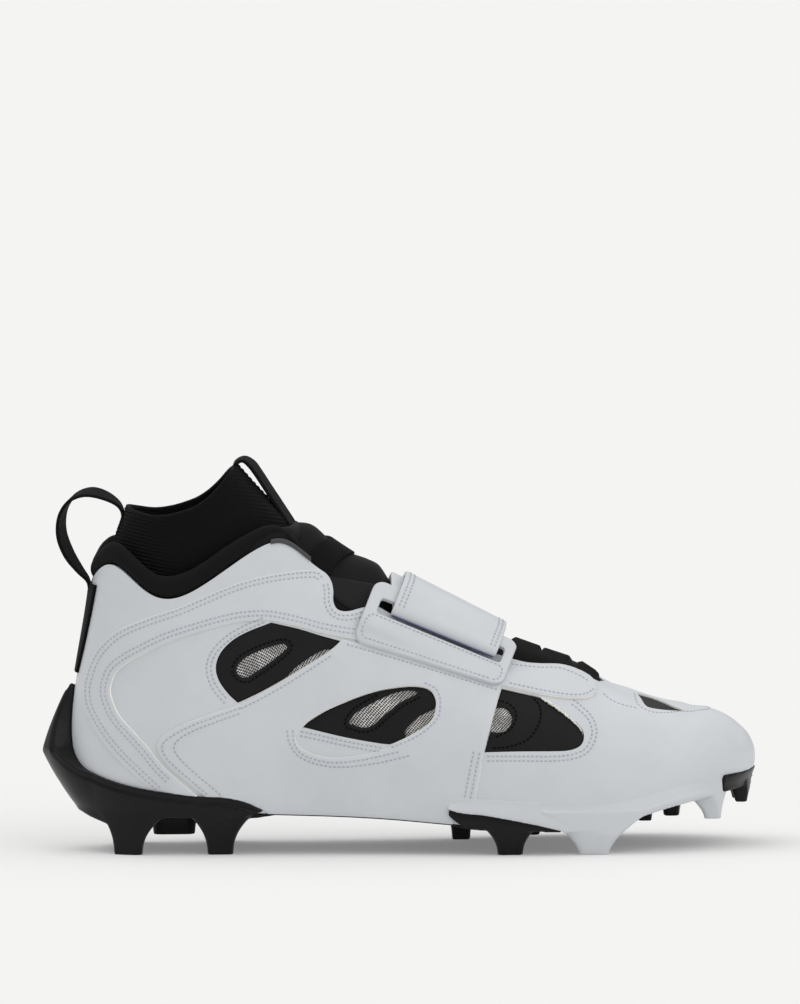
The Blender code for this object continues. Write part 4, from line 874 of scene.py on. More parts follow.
# %% Saddle, heel band and eyestay
OVERLAY_LOW, OVERLAY_HIGH, OVERLAY_EDGE, OVERLAY_STEP = 0.03, 1.1, 0.45, 2.0
overlays = []


def eased(loop, reach=4):
    """A closed line with its small kinks averaged away."""
    return sum(np.roll(loop, k, axis=0) for k in range(-reach, reach + 1)) / (2 * reach + 1)


def arc_form(flat, offset):
    """The heel band's form, thinned along its upper outer edge."""
    seen = surface(flat[:, 0], flat[:, 1] / V_SCALE)
    edge = smooth_path(ARC_OUTER, 3.0)
    near = np.sqrt(((seen[:, None, [0, 2]] - edge[None]) ** 2).sum(axis=2)).min(axis=1)
    thin = np.clip((seen[:, 0] + 128.0) / 20.0, 0.0, 1.0) * np.exp(-(near / 7.0) ** 2)
    return lift(flat, relief(flat) + offset * (1.0 - 0.9 * thin))


for side, inner in SIDES:
    arc = [*smooth_path(ARC_OUTER, 1.2), *smooth_path(ARC_INNER, 1.2)[::-1], *smooth_path(ARC_END, 1.2)]
    shapes = {"saddle": (on_skin(outline(SADDLE), inner), [on_skin(outline(SADDLE_HOLE), inner)], form),
              "heel_arc": (on_skin(arc, inner), [], arc_form),
              "eyestay": (eased(on_skin(outline(EYESTAY), inner)), [], form)}
    for name, (shape, holes, over) in shapes.items():
        panel(f"{name}_{side}_cut", shape, OVERLAY_LOW, OVERLAY_HIGH, OVERLAY_EDGE, OVERLAY_STEP,
              (WHITE, RAW_EDGE), (f"{name}_{side}",), holes, over)
        overlays.append((shape, holes, over))
print("overlays:", len(overlays))

# %% [markdown]
# ## Stitching
# Seams are rows of short threads pulled into the material. Each thread is a small rounded dash; all of one
# colour are one mesh. A row is drawn in the side view and finds for itself whether it lies on the base or on
# an overlay.

# %% Stitch helpers
THREADS = {"white": [], "dark": []}
PITCH_OF_STITCH, LENGTH_OF_STITCH = 1.9, 1.35
FINE_STITCH, BOLD_STITCH, BOLD_DEPTH = (0.35, 0.26), (0.45, 0.42), -0.5
THREAD_SIDES, THREAD_POINTS = 6, 24
THREAD_ENDS = ((-0.5, 0.35), (-0.3, 1.0), (0.3, 1.0), (0.5, 0.35))


def top_of(flat, extra):
    """Places just over whatever lies on top of the upper there."""
    made = form(flat, extra)
    for shape, holes, over in overlays:
        on = within([shape, *holes], flat)
        if on.any():
            made[on] = over(flat[on], OVERLAY_HIGH + extra)
    return made


def dashes(middle, ahead, out, half_wide, half_high):
    """Rounded threads at the given places: points and faces."""
    side = np.cross(out, ahead)
    turn = full_turn(THREAD_SIDES)
    ring = np.stack([np.cos(turn) * half_wide, np.sin(turn) * half_high], axis=1)
    points, count = [], len(middle)
    for along, size in THREAD_ENDS:
        drop = 0.0 if size == 1.0 else -0.8 * half_high
        centre = middle + ahead * (along * LENGTH_OF_STITCH) + out * drop
        points.append(centre[:, None, :] + side[:, None, :] * (ring[:, 0] * size)[None, :, None]
                      + out[:, None, :] * (ring[:, 1] * size)[None, :, None])
    points = np.stack(points, axis=1).reshape(count * THREAD_POINTS, 3)
    rows = np.arange(THREAD_POINTS).reshape(-1, THREAD_SIDES)
    shape = [face for one, two in zip(rows, rows[1:]) for face in strip(one, two)]
    shape += [rows[0][::-1], rows[-1]]
    return points, [tuple(THREAD_POINTS * n + i for i in f) for n in range(count) for f in shape]

# %% Rows of stitches
def sew(places, outs, colour="white", size=FINE_STITCH):
    """Threads along places in space, turned to the given outward directions."""
    run = np.concatenate([[0.0], np.cumsum(np.linalg.norm(np.diff(places, axis=0), axis=1))])
    at = np.arange(0.5 * PITCH_OF_STITCH, run[-1], PITCH_OF_STITCH)
    if not len(at):
        return

    def pick(rows, where):
        return np.stack([np.interp(where, run, rows[:, k]) for k in range(3)], axis=1)

    ahead = unit(pick(places, at + 0.3) - pick(places, at - 0.3))
    out = pick(outs, at)
    out = unit(out - ahead * np.sum(out * ahead, axis=1)[:, None])
    THREADS[colour].append(dashes(pick(places, at), ahead, out, *size))


def seam(points, inner, shift):
    """Rows of stitches along a line of the side view, moved sideways by each shift."""
    base = smooth_path(points, 0.8)
    for move in shift:
        flat = on_skin(shifted(base, move), inner)
        sew(top_of(flat, 0.06), facing_of(flat))


def dark_row(points, inner):
    """Bolder dark stitches on the sunken panels."""
    flat = on_skin(points, inner)
    sew(form(flat, BOLD_DEPTH), facing_of(flat), "dark", BOLD_STITCH)

# %% Seam lines of the upper
SEAMS = (
    (((-32.9, 118.4), (-35.0, 120.8), (-43.0, 121.0), (-55.9, 119.6), (-68.8, 116.6), (-81.7, 111.6),
      (-94.6, 106.2), (-107.5, 101.8), (-120.0, 96.2), (-126.8, 90.1), (-131.2, 83.4), (-134.2, 74.6),
      (-134.8, 70.0), (-134.0, 64.0), (-131.0, 57.7), (-126.9, 51.2), (-121.0, 44.0), (-112.0, 35.0),
      (-105.0, 28.4)), (0.0, 1.9)),
    (ARC_INNER[:-1], (-2.1, -4.0)),
    (((-57.0, 98.6), (-64.5, 95.6), (-70.9, 92.2), (-75.7, 88.2), (-78.3, 84.4), (-79.1, 80.7),
      (-78.3, 76.9), (-76.5, 73.4), (-72.5, 68.6)), (-2.0, -4.0)),
    (SADDLE[1:6], (2.0,)),
    (((-68.2, 64.0), (-80.0, 60.0), (-90.7, 56.0), (-99.4, 51.2), (-102.4, 47.6), (-101.0, 43.2),
      (-96.2, 38.0), (-83.0, 26.6)), (0.0,)),
    (((-68.7, 61.6), (-79.0, 58.0), (-87.6, 54.8), (-94.4, 51.2), (-97.2, 47.8), (-96.0, 43.8),
      (-90.7, 38.0), (-77.6, 26.6)), (0.0,)),
    (((37.4, 44.0), (35.9, 36.9), (34.6, 30.4), (33.3, 24.4)), (-3.2, -5.8)),
    (((-48.6, 54.6), (-47.6, 48.6), (-43.4, 42.8), (-34.4, 39.2), (-23.6, 38.3), (-8.6, 40.2),
      (4.3, 43.2)), (0.0,)),
    (((-46.2, 54.6), (-45.4, 48.2), (-41.4, 43.4), (-32.3, 40.6), (-23.6, 40.4), (-10.8, 42.4),
      (0.0, 45.0)), (0.0,)),
    (((-43.0, 53.6), (-34.4, 51.8), (-25.8, 49.8), (-17.2, 48.1), (-8.0, 46.6)), (0.0, -1.9)),
    (((-4.0, 46.6), (5.0, 50.2), (12.2, 54.8), (16.4, 59.4), (17.4, 64.2), (17.0, 68.4), (15.0, 71.6),
      (11.0, 73.6)), (0.0,)),
    (((37.0, 42.8), (51.6, 42.8), (66.6, 42.7), (74.0, 43.5), (79.1, 45.5), (81.7, 49.2), (82.6, 53.4),
      (80.8, 58.3), (76.5, 62.5), (74.0, 64.3)), (0.0, -1.9)),
    (((44.0, 80.6), (51.6, 79.2), (60.2, 78.1), (69.0, 77.5), (76.4, 75.0), (81.0, 72.4)), (0.0,)),
    (((83.6, 69.6), (80.0, 68.0), (75.2, 67.6), (66.6, 68.6), (57.0, 70.4), (46.0, 73.0)), (0.0,)),
    (((87.6, 68.4), (91.0, 65.8), (95.7, 63.6), (102.2, 61.8)), (0.0,)),
    (((101.4, 66.8), (103.2, 63.0), (109.6, 59.9), (122.5, 58.4), (133.6, 56.4)), (0.0,)),
    (THROAT_NOTCH[3:-1], (-2.0, -3.8)),
    (((-23.0, 90.6), (-6.0, 85.4), (10.4, 80.2), (41.6, 70.2)), (0.0,)),
)
for side, inner in SIDES:
    for points, shift in SEAMS:
        seam(points, inner, shift)
print("seam lines on each side:", len(SEAMS))

# %% Dark rows on the panels
FRONT_ROWS = (((57.6, 67.2), (60.2, 63.9), (60.4, 58.6), (57.8, 53.2), (53.8, 49.4), (46.0, 46.8),
               (39.6, 46.5)),
              ((41.6, 66.0), (43.6, 66.3), (47.6, 64.6), (49.9, 61.4), (49.4, 57.4), (46.6, 53.8),
               (41.4, 51.2)))
for side, inner in SIDES:
    for points in FRONT_ROWS:
        dark_row(smooth_path(points, 0.8), inner)
    for name in VENTS:
        loop = inset(outline(VENTS[name], 0.9), -1.9)
        kept = inside(inset(outline(PANELS[name]), 1.6), loop)
        loop, kept = np.roll(loop, -np.argmin(kept), axis=0), np.roll(kept, -np.argmin(kept))
        for run in np.split(np.arange(len(loop)), np.flatnonzero(np.diff(kept.astype(int))) + 1):
            if kept[run[0]] and len(run) > 3:
                dark_row(loop[run], inner)
print("dark rows:", len(THREADS["dark"]))

# %% [markdown]
# The front window's upper and front edge is cut a little raggedly, so a thin lumpy rim of raw material shows
# there. It is a row of rings of points, skinned over by a sweep. Many of the later pieces are made that way.

# %% Sweep helper
def sweep(rings, closed=False):
    """Skin over equal rings of points: points, faces and a flat measure for weaves."""
    rings = np.asarray(rings)
    n, m = rings.shape[:2]
    faces = [(i * m + j, i * m + (j + 1) % m, (i + 1) % n * m + (j + 1) % m, (i + 1) % n * m + j)
             for i in range(n if closed else n - 1) for j in range(m)]
    if not closed:
        faces += [tuple(range(m))[::-1], tuple((n - 1) * m + j for j in range(m))]
    along = np.linalg.norm(np.diff(rings.mean(axis=1), axis=0), axis=1)
    along = np.concatenate([[0.0], np.cumsum(along)])
    girth = np.concatenate([[0.0], np.cumsum(np.linalg.norm(np.diff(rings[n // 2], axis=0), axis=1))])
    uv = np.stack(np.broadcast_arrays(along[:, None], girth[None, :]), axis=-1).reshape(-1, 2)
    return rings.reshape(-1, 3), faces, uv


def facing_out(points, faces):
    """The same faces, turned over if they enclose a negative volume."""
    total = 0.0
    for f in faces:
        for k in range(1, len(f) - 1):
            total += np.dot(points[f[0]], np.cross(points[f[k]], points[f[k + 1]]))
    return faces if total > 0 else [tuple(f[::-1]) for f in faces]

# %% Swept pieces
def swept(name, rings, paint, nodes, uv=None, across=None, closed=False, angle=35.0):
    """Piece skinned over rings; its weave follows the rings, or places across them, or a flat measure."""
    points, faces, measure = sweep(rings, closed)
    if across is not None:
        measure = np.stack([measure[:, 0], np.tile(across, len(rings))], axis=1)
    uv = measure if uv is None else uv
    return piece(name, points, facing_out(points, faces), (paint,), nodes, uv=uv, angle=angle)


def around(middle, one, two, first, second):
    """Rings round a middle line, from distances along two directions."""
    return middle[:, None] + one[:, None] * first[..., None] + two[:, None] * second[..., None]


def taper(count, reach, least):
    """Share of the full size: least at both ends, one after a number of rings."""
    step = np.arange(count)
    return np.clip(np.minimum(step, step[::-1]) / reach, least, 1.0)

# %% Ragged rim of the front window
RAGGED = ((60.5, 67.1), (64.2, 65.0), (68.5, 62.1), (72.8, 58.8), (76.1, 55.8), (78.2, 53.0), (78.6, 50.8))
for side, inner in SIDES:
    flat = on_skin(smooth_path(RAGGED, 0.35), inner)
    spot = form(flat, -0.05)
    facing, rising = frame_at(flat[:, 0], flat[:, 1] / V_SCALE)[1:]
    step = np.arange(len(flat))
    lump = 0.68 + 0.26 * np.sin(step * 0.9) * np.sin(step * 0.37 + 1.0) + 0.12 * np.sin(step * 2.3)
    lump = (lump * taper(len(flat), 5.0, 0.1))[:, None]
    turn = full_turn(8)
    swept(f"vent_front_{side}_rim", around(spot, facing, rising, lump * np.cos(turn), lump * np.sin(turn)),
          RAW_EDGE, ())
print("threads so far:", sum(len(p) // THREAD_POINTS for p, _ in THREADS["white"] + THREADS["dark"]))

# %% [markdown]
# ## Collar, cuff and tongue
# The collar is a padded roll: an oval swept along the top edge of the upper. Sweeping rings of points gives
# full control over the padding, which a bevelled curve would keep too even.

# %% Smooth table helper
def smooth_rows(table, x):
    """Smooth values through the rows of a table at x, without overshoot at its ends."""
    rows = np.array(table, dtype=float)
    knots = rows[:, 0]
    slope = np.gradient(rows[:, 1:], knots, axis=0)
    x = np.clip(np.asarray(x, dtype=float), knots[0], knots[-1])
    i = np.clip(np.searchsorted(knots, x, side="right") - 1, 0, len(knots) - 2)
    h = knots[i + 1] - knots[i]
    t = ((x - knots[i]) / h)[..., None]
    h = h[..., None]
    return ((2 * t ** 3 - 3 * t * t + 1) * rows[i, 1:] + (t ** 3 - 2 * t * t + t) * h * slope[i]
            + (3 * t * t - 2 * t ** 3) * rows[i + 1, 1:] + (t ** 3 - t * t) * h * slope[i + 1])

# %% Padded collar
COLLAR_RINGS, PAD_OUT, PAD_UP = 300, 3.2, 4.6
collar_from = LAST.knot[ROW["eyestay top, inner"]] - ROUND
u = np.linspace(collar_from, LAST.knot[ROW["eyestay top, outer"]], COLLAR_RINGS)
spot, facing, rising = frame_at(u, np.ones(u.shape))
turn = full_turn(28)
ends = taper(COLLAR_RINGS, 10.0, 0.02)
front = np.clip((spot[:, 0] + 74.0) / 34.0, 0.0, 1.0)
size = (np.sqrt(ends * (2.0 - ends)) * (1.0 - 0.5 * front ** 1.5))[:, None]
puff = 1.0 + 0.025 * np.sin(u * 0.55)[:, None] * np.sin(u * 0.21 + 1.0)[:, None]
out = -2.2 - 1.6 * front[:, None] + PAD_OUT * np.cos(turn)[None, :] * size * puff
up = 5.2 - 2.0 * front[:, None] + PAD_UP * np.sin(turn)[None, :] * size * puff
collar_roll = swept("collar_roll", around(spot, facing, rising, out, up), COLLAR_CLOTH, ("collar",))
print("collar_roll:", len(collar_roll.data.polygons), "faces")

# %% Grey facing strip below the collar's front end
FACING_FROM, FACING_TO = -55.0, -38.0
ring = np.array([(0.8, -0.6), (1.05, 0.3), (1.0, 1.1), (0.7, 1.5), (0.3, 1.2), (0.2, -0.6)])
u_all = np.linspace(0.0, ROUND, 2000)
for side, inner in SIDES:
    u_side = u_all[u_all > U_TIP if inner else u_all < U_TIP]
    top_x = LAST.at(u_side)[:, 5]
    order = np.argsort(top_x)
    u = np.interp(np.linspace(FACING_FROM, FACING_TO, 24), top_x[order], u_side[order])
    spot, facing, rising = frame_at(u, np.ones(u.shape))
    swept(f"collar_facing_{side}", around(spot, facing, rising, *ring.T), FACING, ("collar",))
print("facing strips: 2")

# %% [markdown]
# The cuff is a rib-knit sock top. Its ribs run round it on a slant, so they are pushed out of a fine grid as
# a wave of height plus a little length. The wall turns over at the rim and goes down inside.

# %% Knit cuff
CUFF = ((0.0, -126.2, -47.5, 25.2), (0.4, -124.2, -46.8, 26.0), (0.72, -121.0, -58.5, 25.8),
        (1.0, -117.6, -68.6, 25.0))
CUFF_FOOT = ((-126.0, 116.0), (-102.0, 106.0), (-84.0, 111.0), (-60.0, 122.0), (-46.0, 125.0))
CUFF_RIM = ((-117.6, 148.4), (-112.0, 146.6), (-105.0, 145.3), (-98.0, 145.9), (-92.0, 147.5),
            (-86.0, 150.0), (-81.0, 153.6), (-77.0, 157.6), (-73.0, 162.4), (-68.0, 166.6))
CUFF_ROUND, RIB, RIB_HIGH, RIM_RIB_HIGH = 200, 1.55, 0.24, 0.05
turn = full_turn(CUFF_ROUND)
c, s = rounded(np.cos(turn), 0.9), rounded(np.sin(turn), 0.9)


def cuff_ring(v, draw_in, raised):
    """Ring of the knit at a share of the cuff's height, drawn in for the inner wall."""
    def ring_x(level):
        back, front = smooth_rows(CUFF, level)[:2] + np.array([draw_in, -draw_in])
        return 0.5 * (back + front) + 0.5 * (front - back) * c

    wide = smooth_rows(CUFF, v)[2] - draw_in
    z = (1.0 - v) * smooth_rows(CUFF_FOOT, ring_x(0.0))[:, 0] + v * smooth_rows(CUFF_RIM, ring_x(1.0))[:, 0]
    made = np.stack([ring_x(v), wide * s, z + raised], axis=1)
    rib = np.cos(2.0 * math.pi * (made[:, 2] + 0.2 * made[:, 0]) / RIB)
    rib *= RIB_HIGH if v < 0.985 else RIM_RIB_HIGH
    rib += 0.5 * np.sin(0.9 * made[:, 0] + 0.35 * made[:, 2]) * (1.0 - v) * v
    away = unit(np.stack([made[:, 0] + 92.0, made[:, 1] * 1.6, np.zeros(CUFF_ROUND)], axis=1))
    return made + away * (rib * (1.0 if draw_in < 1.0 else -0.6))[:, None]


rows = [cuff_ring(v, 0.0, 0.0) for v in np.linspace(0.0, 1.0, 170)]
rows += [cuff_ring(1.0, 1.0 - math.cos(a), math.sin(a)) for a in np.linspace(0.25, math.pi - 0.25, 7)]
rows += [cuff_ring(v, 2.0, 0.0) for v in np.linspace(1.0, 0.0, 90)]
cuff_uv = np.reshape(rows, (-1, 3))[:, [0, 2]]
cuff = swept("cuff_knit", rows, KNIT, ("cuff",), uv=cuff_uv, closed=True, angle=60.0)
print("cuff_knit:", len(cuff.data.polygons), "faces")

# %% [markdown]
# The tongue is a puffed sheet below the laces. A table gives its form along the shoe, and a small wave quilts
# its upper part. A smooth panel lies on each flank, and a soft roll closes the gap to the cuff.

# %% Padded tongue
# Columns: x, height of the crest, half width, drop at the edge, thickness.
TONGUE = ((-50.0, 140.6, 17.0, 12.0, 5.0), (-43.6, 141.2, 19.0, 14.0, 5.5), (-38.0, 139.8, 22.0, 20.0, 6.5),
          (-31.0, 134.6, 24.0, 22.5, 6.5), (-27.0, 131.0, 24.4, 22.7, 6.5), (-21.0, 127.2, 25.0, 23.0, 6.5),
          (-13.0, 124.8, 25.2, 23.5, 6.5), (-8.2, 121.4, 25.3, 22.6, 5.8), (-5.2, 116.8, 25.4, 21.4, 5.4),
          (-3.2, 113.6, 25.4, 20.5, 5.0), (8.0, 107.6, 25.6, 21.0, 4.5), (30.0, 97.0, 25.6, 20.0, 4.0),
          (55.0, 86.2, 21.5, 18.5, 3.5), (70.0, 81.4, 18.0, 13.0, 3.2), (77.0, 78.8, 15.5, 9.0, 3.0),
          (84.0, 74.4, 12.0, 6.0, 2.8), (90.0, 69.0, 9.0, 4.0, 2.6))
TONGUE_ROUND, TONGUE_POWER = 96, 2.2


def tongue_height(x, y):
    """Height of the tongue's upper face."""
    rows = smooth_rows(TONGUE, x)
    return rows[..., 0] - rows[..., 2] * np.abs(np.asarray(y) / rows[..., 1]) ** TONGUE_POWER


turn = full_turn(TONGUE_ROUND)
share, side = np.cos(turn), rounded(np.sin(turn), 0.35)
rings_of_tongue = []
for x in np.linspace(-50.0, 90.0, 156):
    crest, wide, drop, thick = smooth_rows(TONGUE, np.array(x))
    close = math.sqrt(max(0.02, min(1.0, (x + 50.4) / 3.0, (90.4 - x) / 2.0)))
    quilt = 0.35 * math.sin((x + 40.0) * 0.42) * np.clip(1.0 - np.abs(share) * 0.8, 0.0, 1.0) * (x < -2.0)
    z = (crest - 0.5 * thick - drop * np.abs(share) ** TONGUE_POWER + 0.5 * thick * close * side
         + quilt * (side > 0))
    y = (wide - np.where(side < 0, 0.35 * thick, 0.0)) * share
    rings_of_tongue.append(np.stack([np.full(TONGUE_ROUND, x), y, z], axis=1))
tongue_uv = np.reshape(rings_of_tongue, (-1, 3))[:, :2]
tongue_pad = swept("tongue_pad", rings_of_tongue, TONGUE_CLOTH, ("tongue",), uv=tongue_uv)
print("tongue_pad:", len(tongue_pad.data.polygons), "faces")

# %% Smooth panel on each flank of the tongue
x = np.linspace(-31.0, -3.6, 60)
crest, wide, drop, thick = np.moveaxis(smooth_rows(TONGUE, x), -1, 0)
seam_z = 118.4 - 0.194 * (x + 27.1)
start = wide * (np.clip(crest - seam_z, 0.5, None) / drop) ** (1.0 / TONGUE_POWER)
share = np.linspace(0.0, 1.0, 14)
lift_off = 0.55 * np.sqrt(np.clip(1.0 - (2.0 * share - 1.0) ** 8, 0.0, 1.0))
for side, way in (("outer", -1.0), ("inner", 1.0)):
    y = way * (start[:, None] + (wide - 0.6 - start)[:, None] * share)
    along = np.broadcast_to(x[:, None], y.shape)
    z = tongue_height(along, y)
    top = np.stack([along, y + way * 0.4 * lift_off, z + lift_off], axis=2)
    low = np.stack([along, y, z - 0.4], axis=2)
    swept(f"tongue_flank_{side}", np.concatenate([top, low[:, ::-1]], axis=1), TONGUE_PANEL, ("tongue",))
print("tongue flanks: 2")

# %% Soft roll where the tongue wraps the front of the cuff
TONGUE_ROLL = ((-68.0, -27.0, 127.0), (-61.0, -26.8, 132.0), (-54.0, -25.0, 134.8), (-48.0, -20.4, 135.2),
               (-44.6, -11.0, 135.4), (-43.6, 0.0, 135.6), (-44.6, 11.0, 135.4), (-48.0, 20.4, 135.2),
               (-54.0, 25.0, 134.8), (-61.0, 26.8, 132.0), (-68.0, 27.0, 127.0))
path = smooth_path(TONGUE_ROLL, 1.0)
run = unit(np.gradient(path, axis=0))
out = path - np.array([-86.0, 0.0, 118.0])
out -= run * np.sum(out * run, axis=1)[:, None]
out[:, 2] *= 0.2
out = unit(out)
up = np.cross(run, out)
up *= np.sign(up[:, 2:])
ends = taper(len(path), 8.0, 0.03)
size = np.sqrt(ends * (2.0 - ends))[:, None]
turn = full_turn(24)
rings_of_roll = around(path, out, up, 2.6 * np.cos(turn) * size, 5.4 * np.sin(turn) * size)
roll = swept("tongue_roll", rings_of_roll, TONGUE_CLOTH, ("tongue",))
print("tongue_roll:", len(roll.data.polygons), "faces")

# %% [markdown]
# ## Bands and laces
# Webbing, laces and strap are flat bands with rounded edges. A band follows a middle line; at every place it
# has a direction across and a direction out, and its section is a rounded box in those two.

# %% Band helper
LONG_SIDE = 3.0


def box_section(width, thick, radius, parts=4):
    """Section of a band: a box with round corners, its long sides divided."""
    made = []
    for cx, cy, start in ((1, -1, -90), (1, 1, 0), (-1, 1, 90), (-1, -1, 180)):
        for k in range(parts + 1):
            a = math.radians(start + 90.0 * k / parts)
            made.append((cx * (0.5 * width - radius) + radius * math.cos(a),
                         cy * (0.5 * thick - radius) + radius * math.sin(a)))
    flat = np.array(made)
    finer = []
    for one, two in zip(flat, np.roll(flat, -1, axis=0)):
        shares = (0.0, 0.2, 0.4, 0.6, 0.8) if np.linalg.norm(two - one) > LONG_SIDE else (0.0,)
        finer += [one + (two - one) * t for t in shares]
    return np.array(finer)


def band(name, middle, across, out, section, paint, nodes, extra=0.0):
    """Flat band along a middle line; extra moves its rings."""
    rings = around(middle, across, out, *section.T) + extra
    return swept(name, rings, paint, nodes, across=section[:, 0])


def over_tongue(x, y, across, height):
    """Middle line over the tongue with its directions across and out."""
    e = 0.5
    z = tongue_height(x, y)
    dx = (tongue_height(x + e, y) - tongue_height(x - e, y)) / (2 * e)
    dy = (tongue_height(x, y + e) - tongue_height(x, y - e)) / (2 * e)
    out = unit(np.stack([-dx, -dy, np.ones(x.shape)], axis=1))
    wide = unit(np.stack([across[:, 0], across[:, 1], across[:, 0] * dx + across[:, 1] * dy], axis=1))
    return np.stack([x, y, z], axis=1) + out * np.asarray(height)[..., None], wide, out

# %% Instep band and laces
share = np.linspace(-1.12, 1.12, 90)
middle, wide, out = over_tongue(-24.4 - 10.5 * np.abs(share) ** 1.25, 20.5 * share,
                                np.tile((1.0, 0.0), (90, 1)), np.full(90, 1.1))
band("instep_webbing", middle, wide, out, box_section(11.4, 1.5, 0.6), WEBBING, ("instep_band",))
# Columns: x, reach to each side, slant, width, height over the tongue.
LACES = ((54.6, 17.0, 3.0, 12.0, 0.4), (67.6, 13.6, 2.6, 12.0, -0.1), (81.4, 9.4, 2.0, 8.4, -0.3))
for number, (x, reach, slant, broad, seat) in enumerate(LACES, start=1):
    for way, label in ((1.0, "a"), (-1.0, "b")):
        share = np.linspace(-1.0, 1.0, 60)
        along = np.array([slant * way, reach]) / math.hypot(slant, reach)
        crossing = (0.6 if way > 0 else 0.0) * np.exp(-(share * reach / 6.0) ** 2)
        rise = seat + crossing + 0.2 * np.sin(share * 9.0 + number)
        middle, wide, out = over_tongue(x + way * slant * share, reach * share,
                                        np.tile((along[1], -along[0]), (60, 1)), rise)
        band(f"lace_{number}{label}", middle, wide, out, box_section(broad, 2.0, 0.95), LACE_CLOTH,
             (f"lace_cross_{number}",))
print("bands over the tongue: 7")

# %% [markdown]
# ## Strap and ring
# The strap comes over the instep from the inner side, passes through the slot of a moulded ring on the outer
# side and folds back over itself. Both are drawn in axes turned with the instep: w along the shoe, n away
# from it.

# %% Axes of the strap and sizes of the ring
PITCH = math.radians(23.0)
STRAP_FROM, STRAP_TO, STRAP_THICK = -43.6, 5.0, 1.8
LOOP_FROM, LOOP_TO, LOOP_HIGH, LOOP_THICK = -54.9, 12.2, 28.7, 2.2
LOOP_RUN, LOOP_OUT = np.array([0.578, 0.816]), np.array([-0.816, 0.578])
LOOP_ORIGIN, LOOP_SEAT = np.array([-34.0, 80.0]), 1.2
GAP, STITCH_OVER = 0.3, 0.04


def from_strap_axes(w, y, n):
    """Places of the shoe from w, y and n."""
    return np.stack([w * math.cos(PITCH) + n * math.sin(PITCH), y + 0.0 * w,
                     n * math.cos(PITCH) - w * math.sin(PITCH)], axis=-1)


def to_strap_axes(p):
    """The w, y and n of places of the shoe."""
    return (p[..., 0] * math.cos(PITCH) - p[..., 2] * math.sin(PITCH), p[..., 1],
            p[..., 0] * math.sin(PITCH) + p[..., 2] * math.cos(PITCH))

# %% Where the ring stands off the upper
quarter_u = np.linspace(u_at_x(-70.0, False), u_at_x(75.0, False), 90)
w, y, n = to_strap_axes(surface(*np.meshgrid(quarter_u, np.linspace(0.3, 1.0, 60), indexing="ij")))
lean = np.stack([y, n], axis=-1) - LOOP_ORIGIN
near = (w > LOOP_FROM) & (w < LOOP_TO) & (lean @ LOOP_RUN > 0.0)
loop_foot = LOOP_ORIGIN + LOOP_OUT * ((lean @ LOOP_OUT)[near].max() + GAP) - LOOP_RUN * LOOP_SEAT


def on_loop(up, off):
    """Place in the strap's axes, from the height up the ring and the distance off it."""
    place = loop_foot + np.multiply.outer(up, LOOP_RUN) + np.multiply.outer(off, LOOP_OUT)
    return place[..., 0], place[..., 1]


def terms(a, b):
    """Products of powers for fitting a gently bent face."""
    a, b = a / 30.0, b / 30.0
    return np.stack([a ** i * b ** k for i in range(4) for k in range(4 - i)], axis=-1)


lean = lean @ np.stack([LOOP_RUN, LOOP_OUT], axis=1)
under_ring = (w > LOOP_FROM - 4.0) & (w < LOOP_TO + 4.0) & (lean[..., 0] > -8.0) & (lean[..., 0] < 14.0)
bend = np.linalg.lstsq(terms(w[under_ring], lean[..., 0][under_ring]),
                       lean[..., 1][under_ring] - (loop_foot - LOOP_ORIGIN) @ LOOP_OUT, rcond=None)[0]

# %% Form and outline of the ring
def ring_form(flat, offset):
    """The ring's plane, bent toward the upper below its slot."""
    y, n = on_loop(flat[:, 1], np.zeros(len(flat)))
    offset = np.broadcast_to(np.asarray(offset, dtype=float), flat.shape[:1])
    low = np.clip((13.0 - flat[:, 1]) / 10.0, 0.0, 1.0)
    near = terms(flat[:, 0], np.clip(flat[:, 1], -3.0, 13.0) - LOOP_SEAT) @ bend
    offset = offset + (near + LOOP_SEAT) * low ** 2
    return from_strap_axes(flat[:, 0], y + LOOP_OUT[0] * offset, n + LOOP_OUT[1] * offset)


def rounded_box(x0, x1, y0, y1, radius, step=1.2):
    """Closed outline of a box with round corners, at even spacing."""
    made = []
    for cx, cy, start in ((x1 - radius, y0 + radius, -90), (x1 - radius, y1 - radius, 0),
                          (x0 + radius, y1 - radius, 90), (x0 + radius, y0 + radius, 180)):
        for a in np.radians(start + np.linspace(0.0, 90.0, 9)):
            made.append((cx + radius * math.cos(a), cy + radius * math.sin(a)))
    made = np.array(made)
    return evenly(np.concatenate([made, made[:1]]), step)[:-1]


def narrowed(edge):
    """The ring is deeper at its heel end than at its toe end."""
    share = (edge[:, 0] - LOOP_FROM) / (LOOP_TO - LOOP_FROM)
    low = np.interp(edge[:, 1], (0.0, 12.0), (1.0, 0.0)) * (-1.6 + 3.6 * share)
    high = np.interp(edge[:, 1], (22.0, LOOP_HIGH), (0.0, 2.6)) * share
    return edge + np.stack([np.zeros(len(edge)), low - high], axis=1)

# %% Ring with its slot
ring_edge = narrowed(rounded_box(LOOP_FROM, LOOP_TO, 0.0, LOOP_HIGH, 5.0))
slot_edge = rounded_box(-49.6, 7.8, 12.8, 20.6, 1.6, 0.7)
panel("strap_ring", ring_edge, 0.0, LOOP_THICK, 0.8, 1.6, (WHITE_MOULD, WHITE_MOULD), ("strap_loop",),
      [slot_edge], ring_form)
ring_normal = from_strap_axes(np.zeros(1), LOOP_OUT[:1], LOOP_OUT[1:])[0]
rows = narrowed(rounded_box(LOOP_FROM + 2.2, LOOP_TO - 2.2, 2.0, 11.4, 3.0))
rows = np.concatenate([rows, rows[:1]])
sew(ring_form(rows, LOOP_THICK + STITCH_OVER), np.tile(ring_normal, (len(rows), 1)))
print("strap_ring on its foot at", np.round(loop_foot, 1))

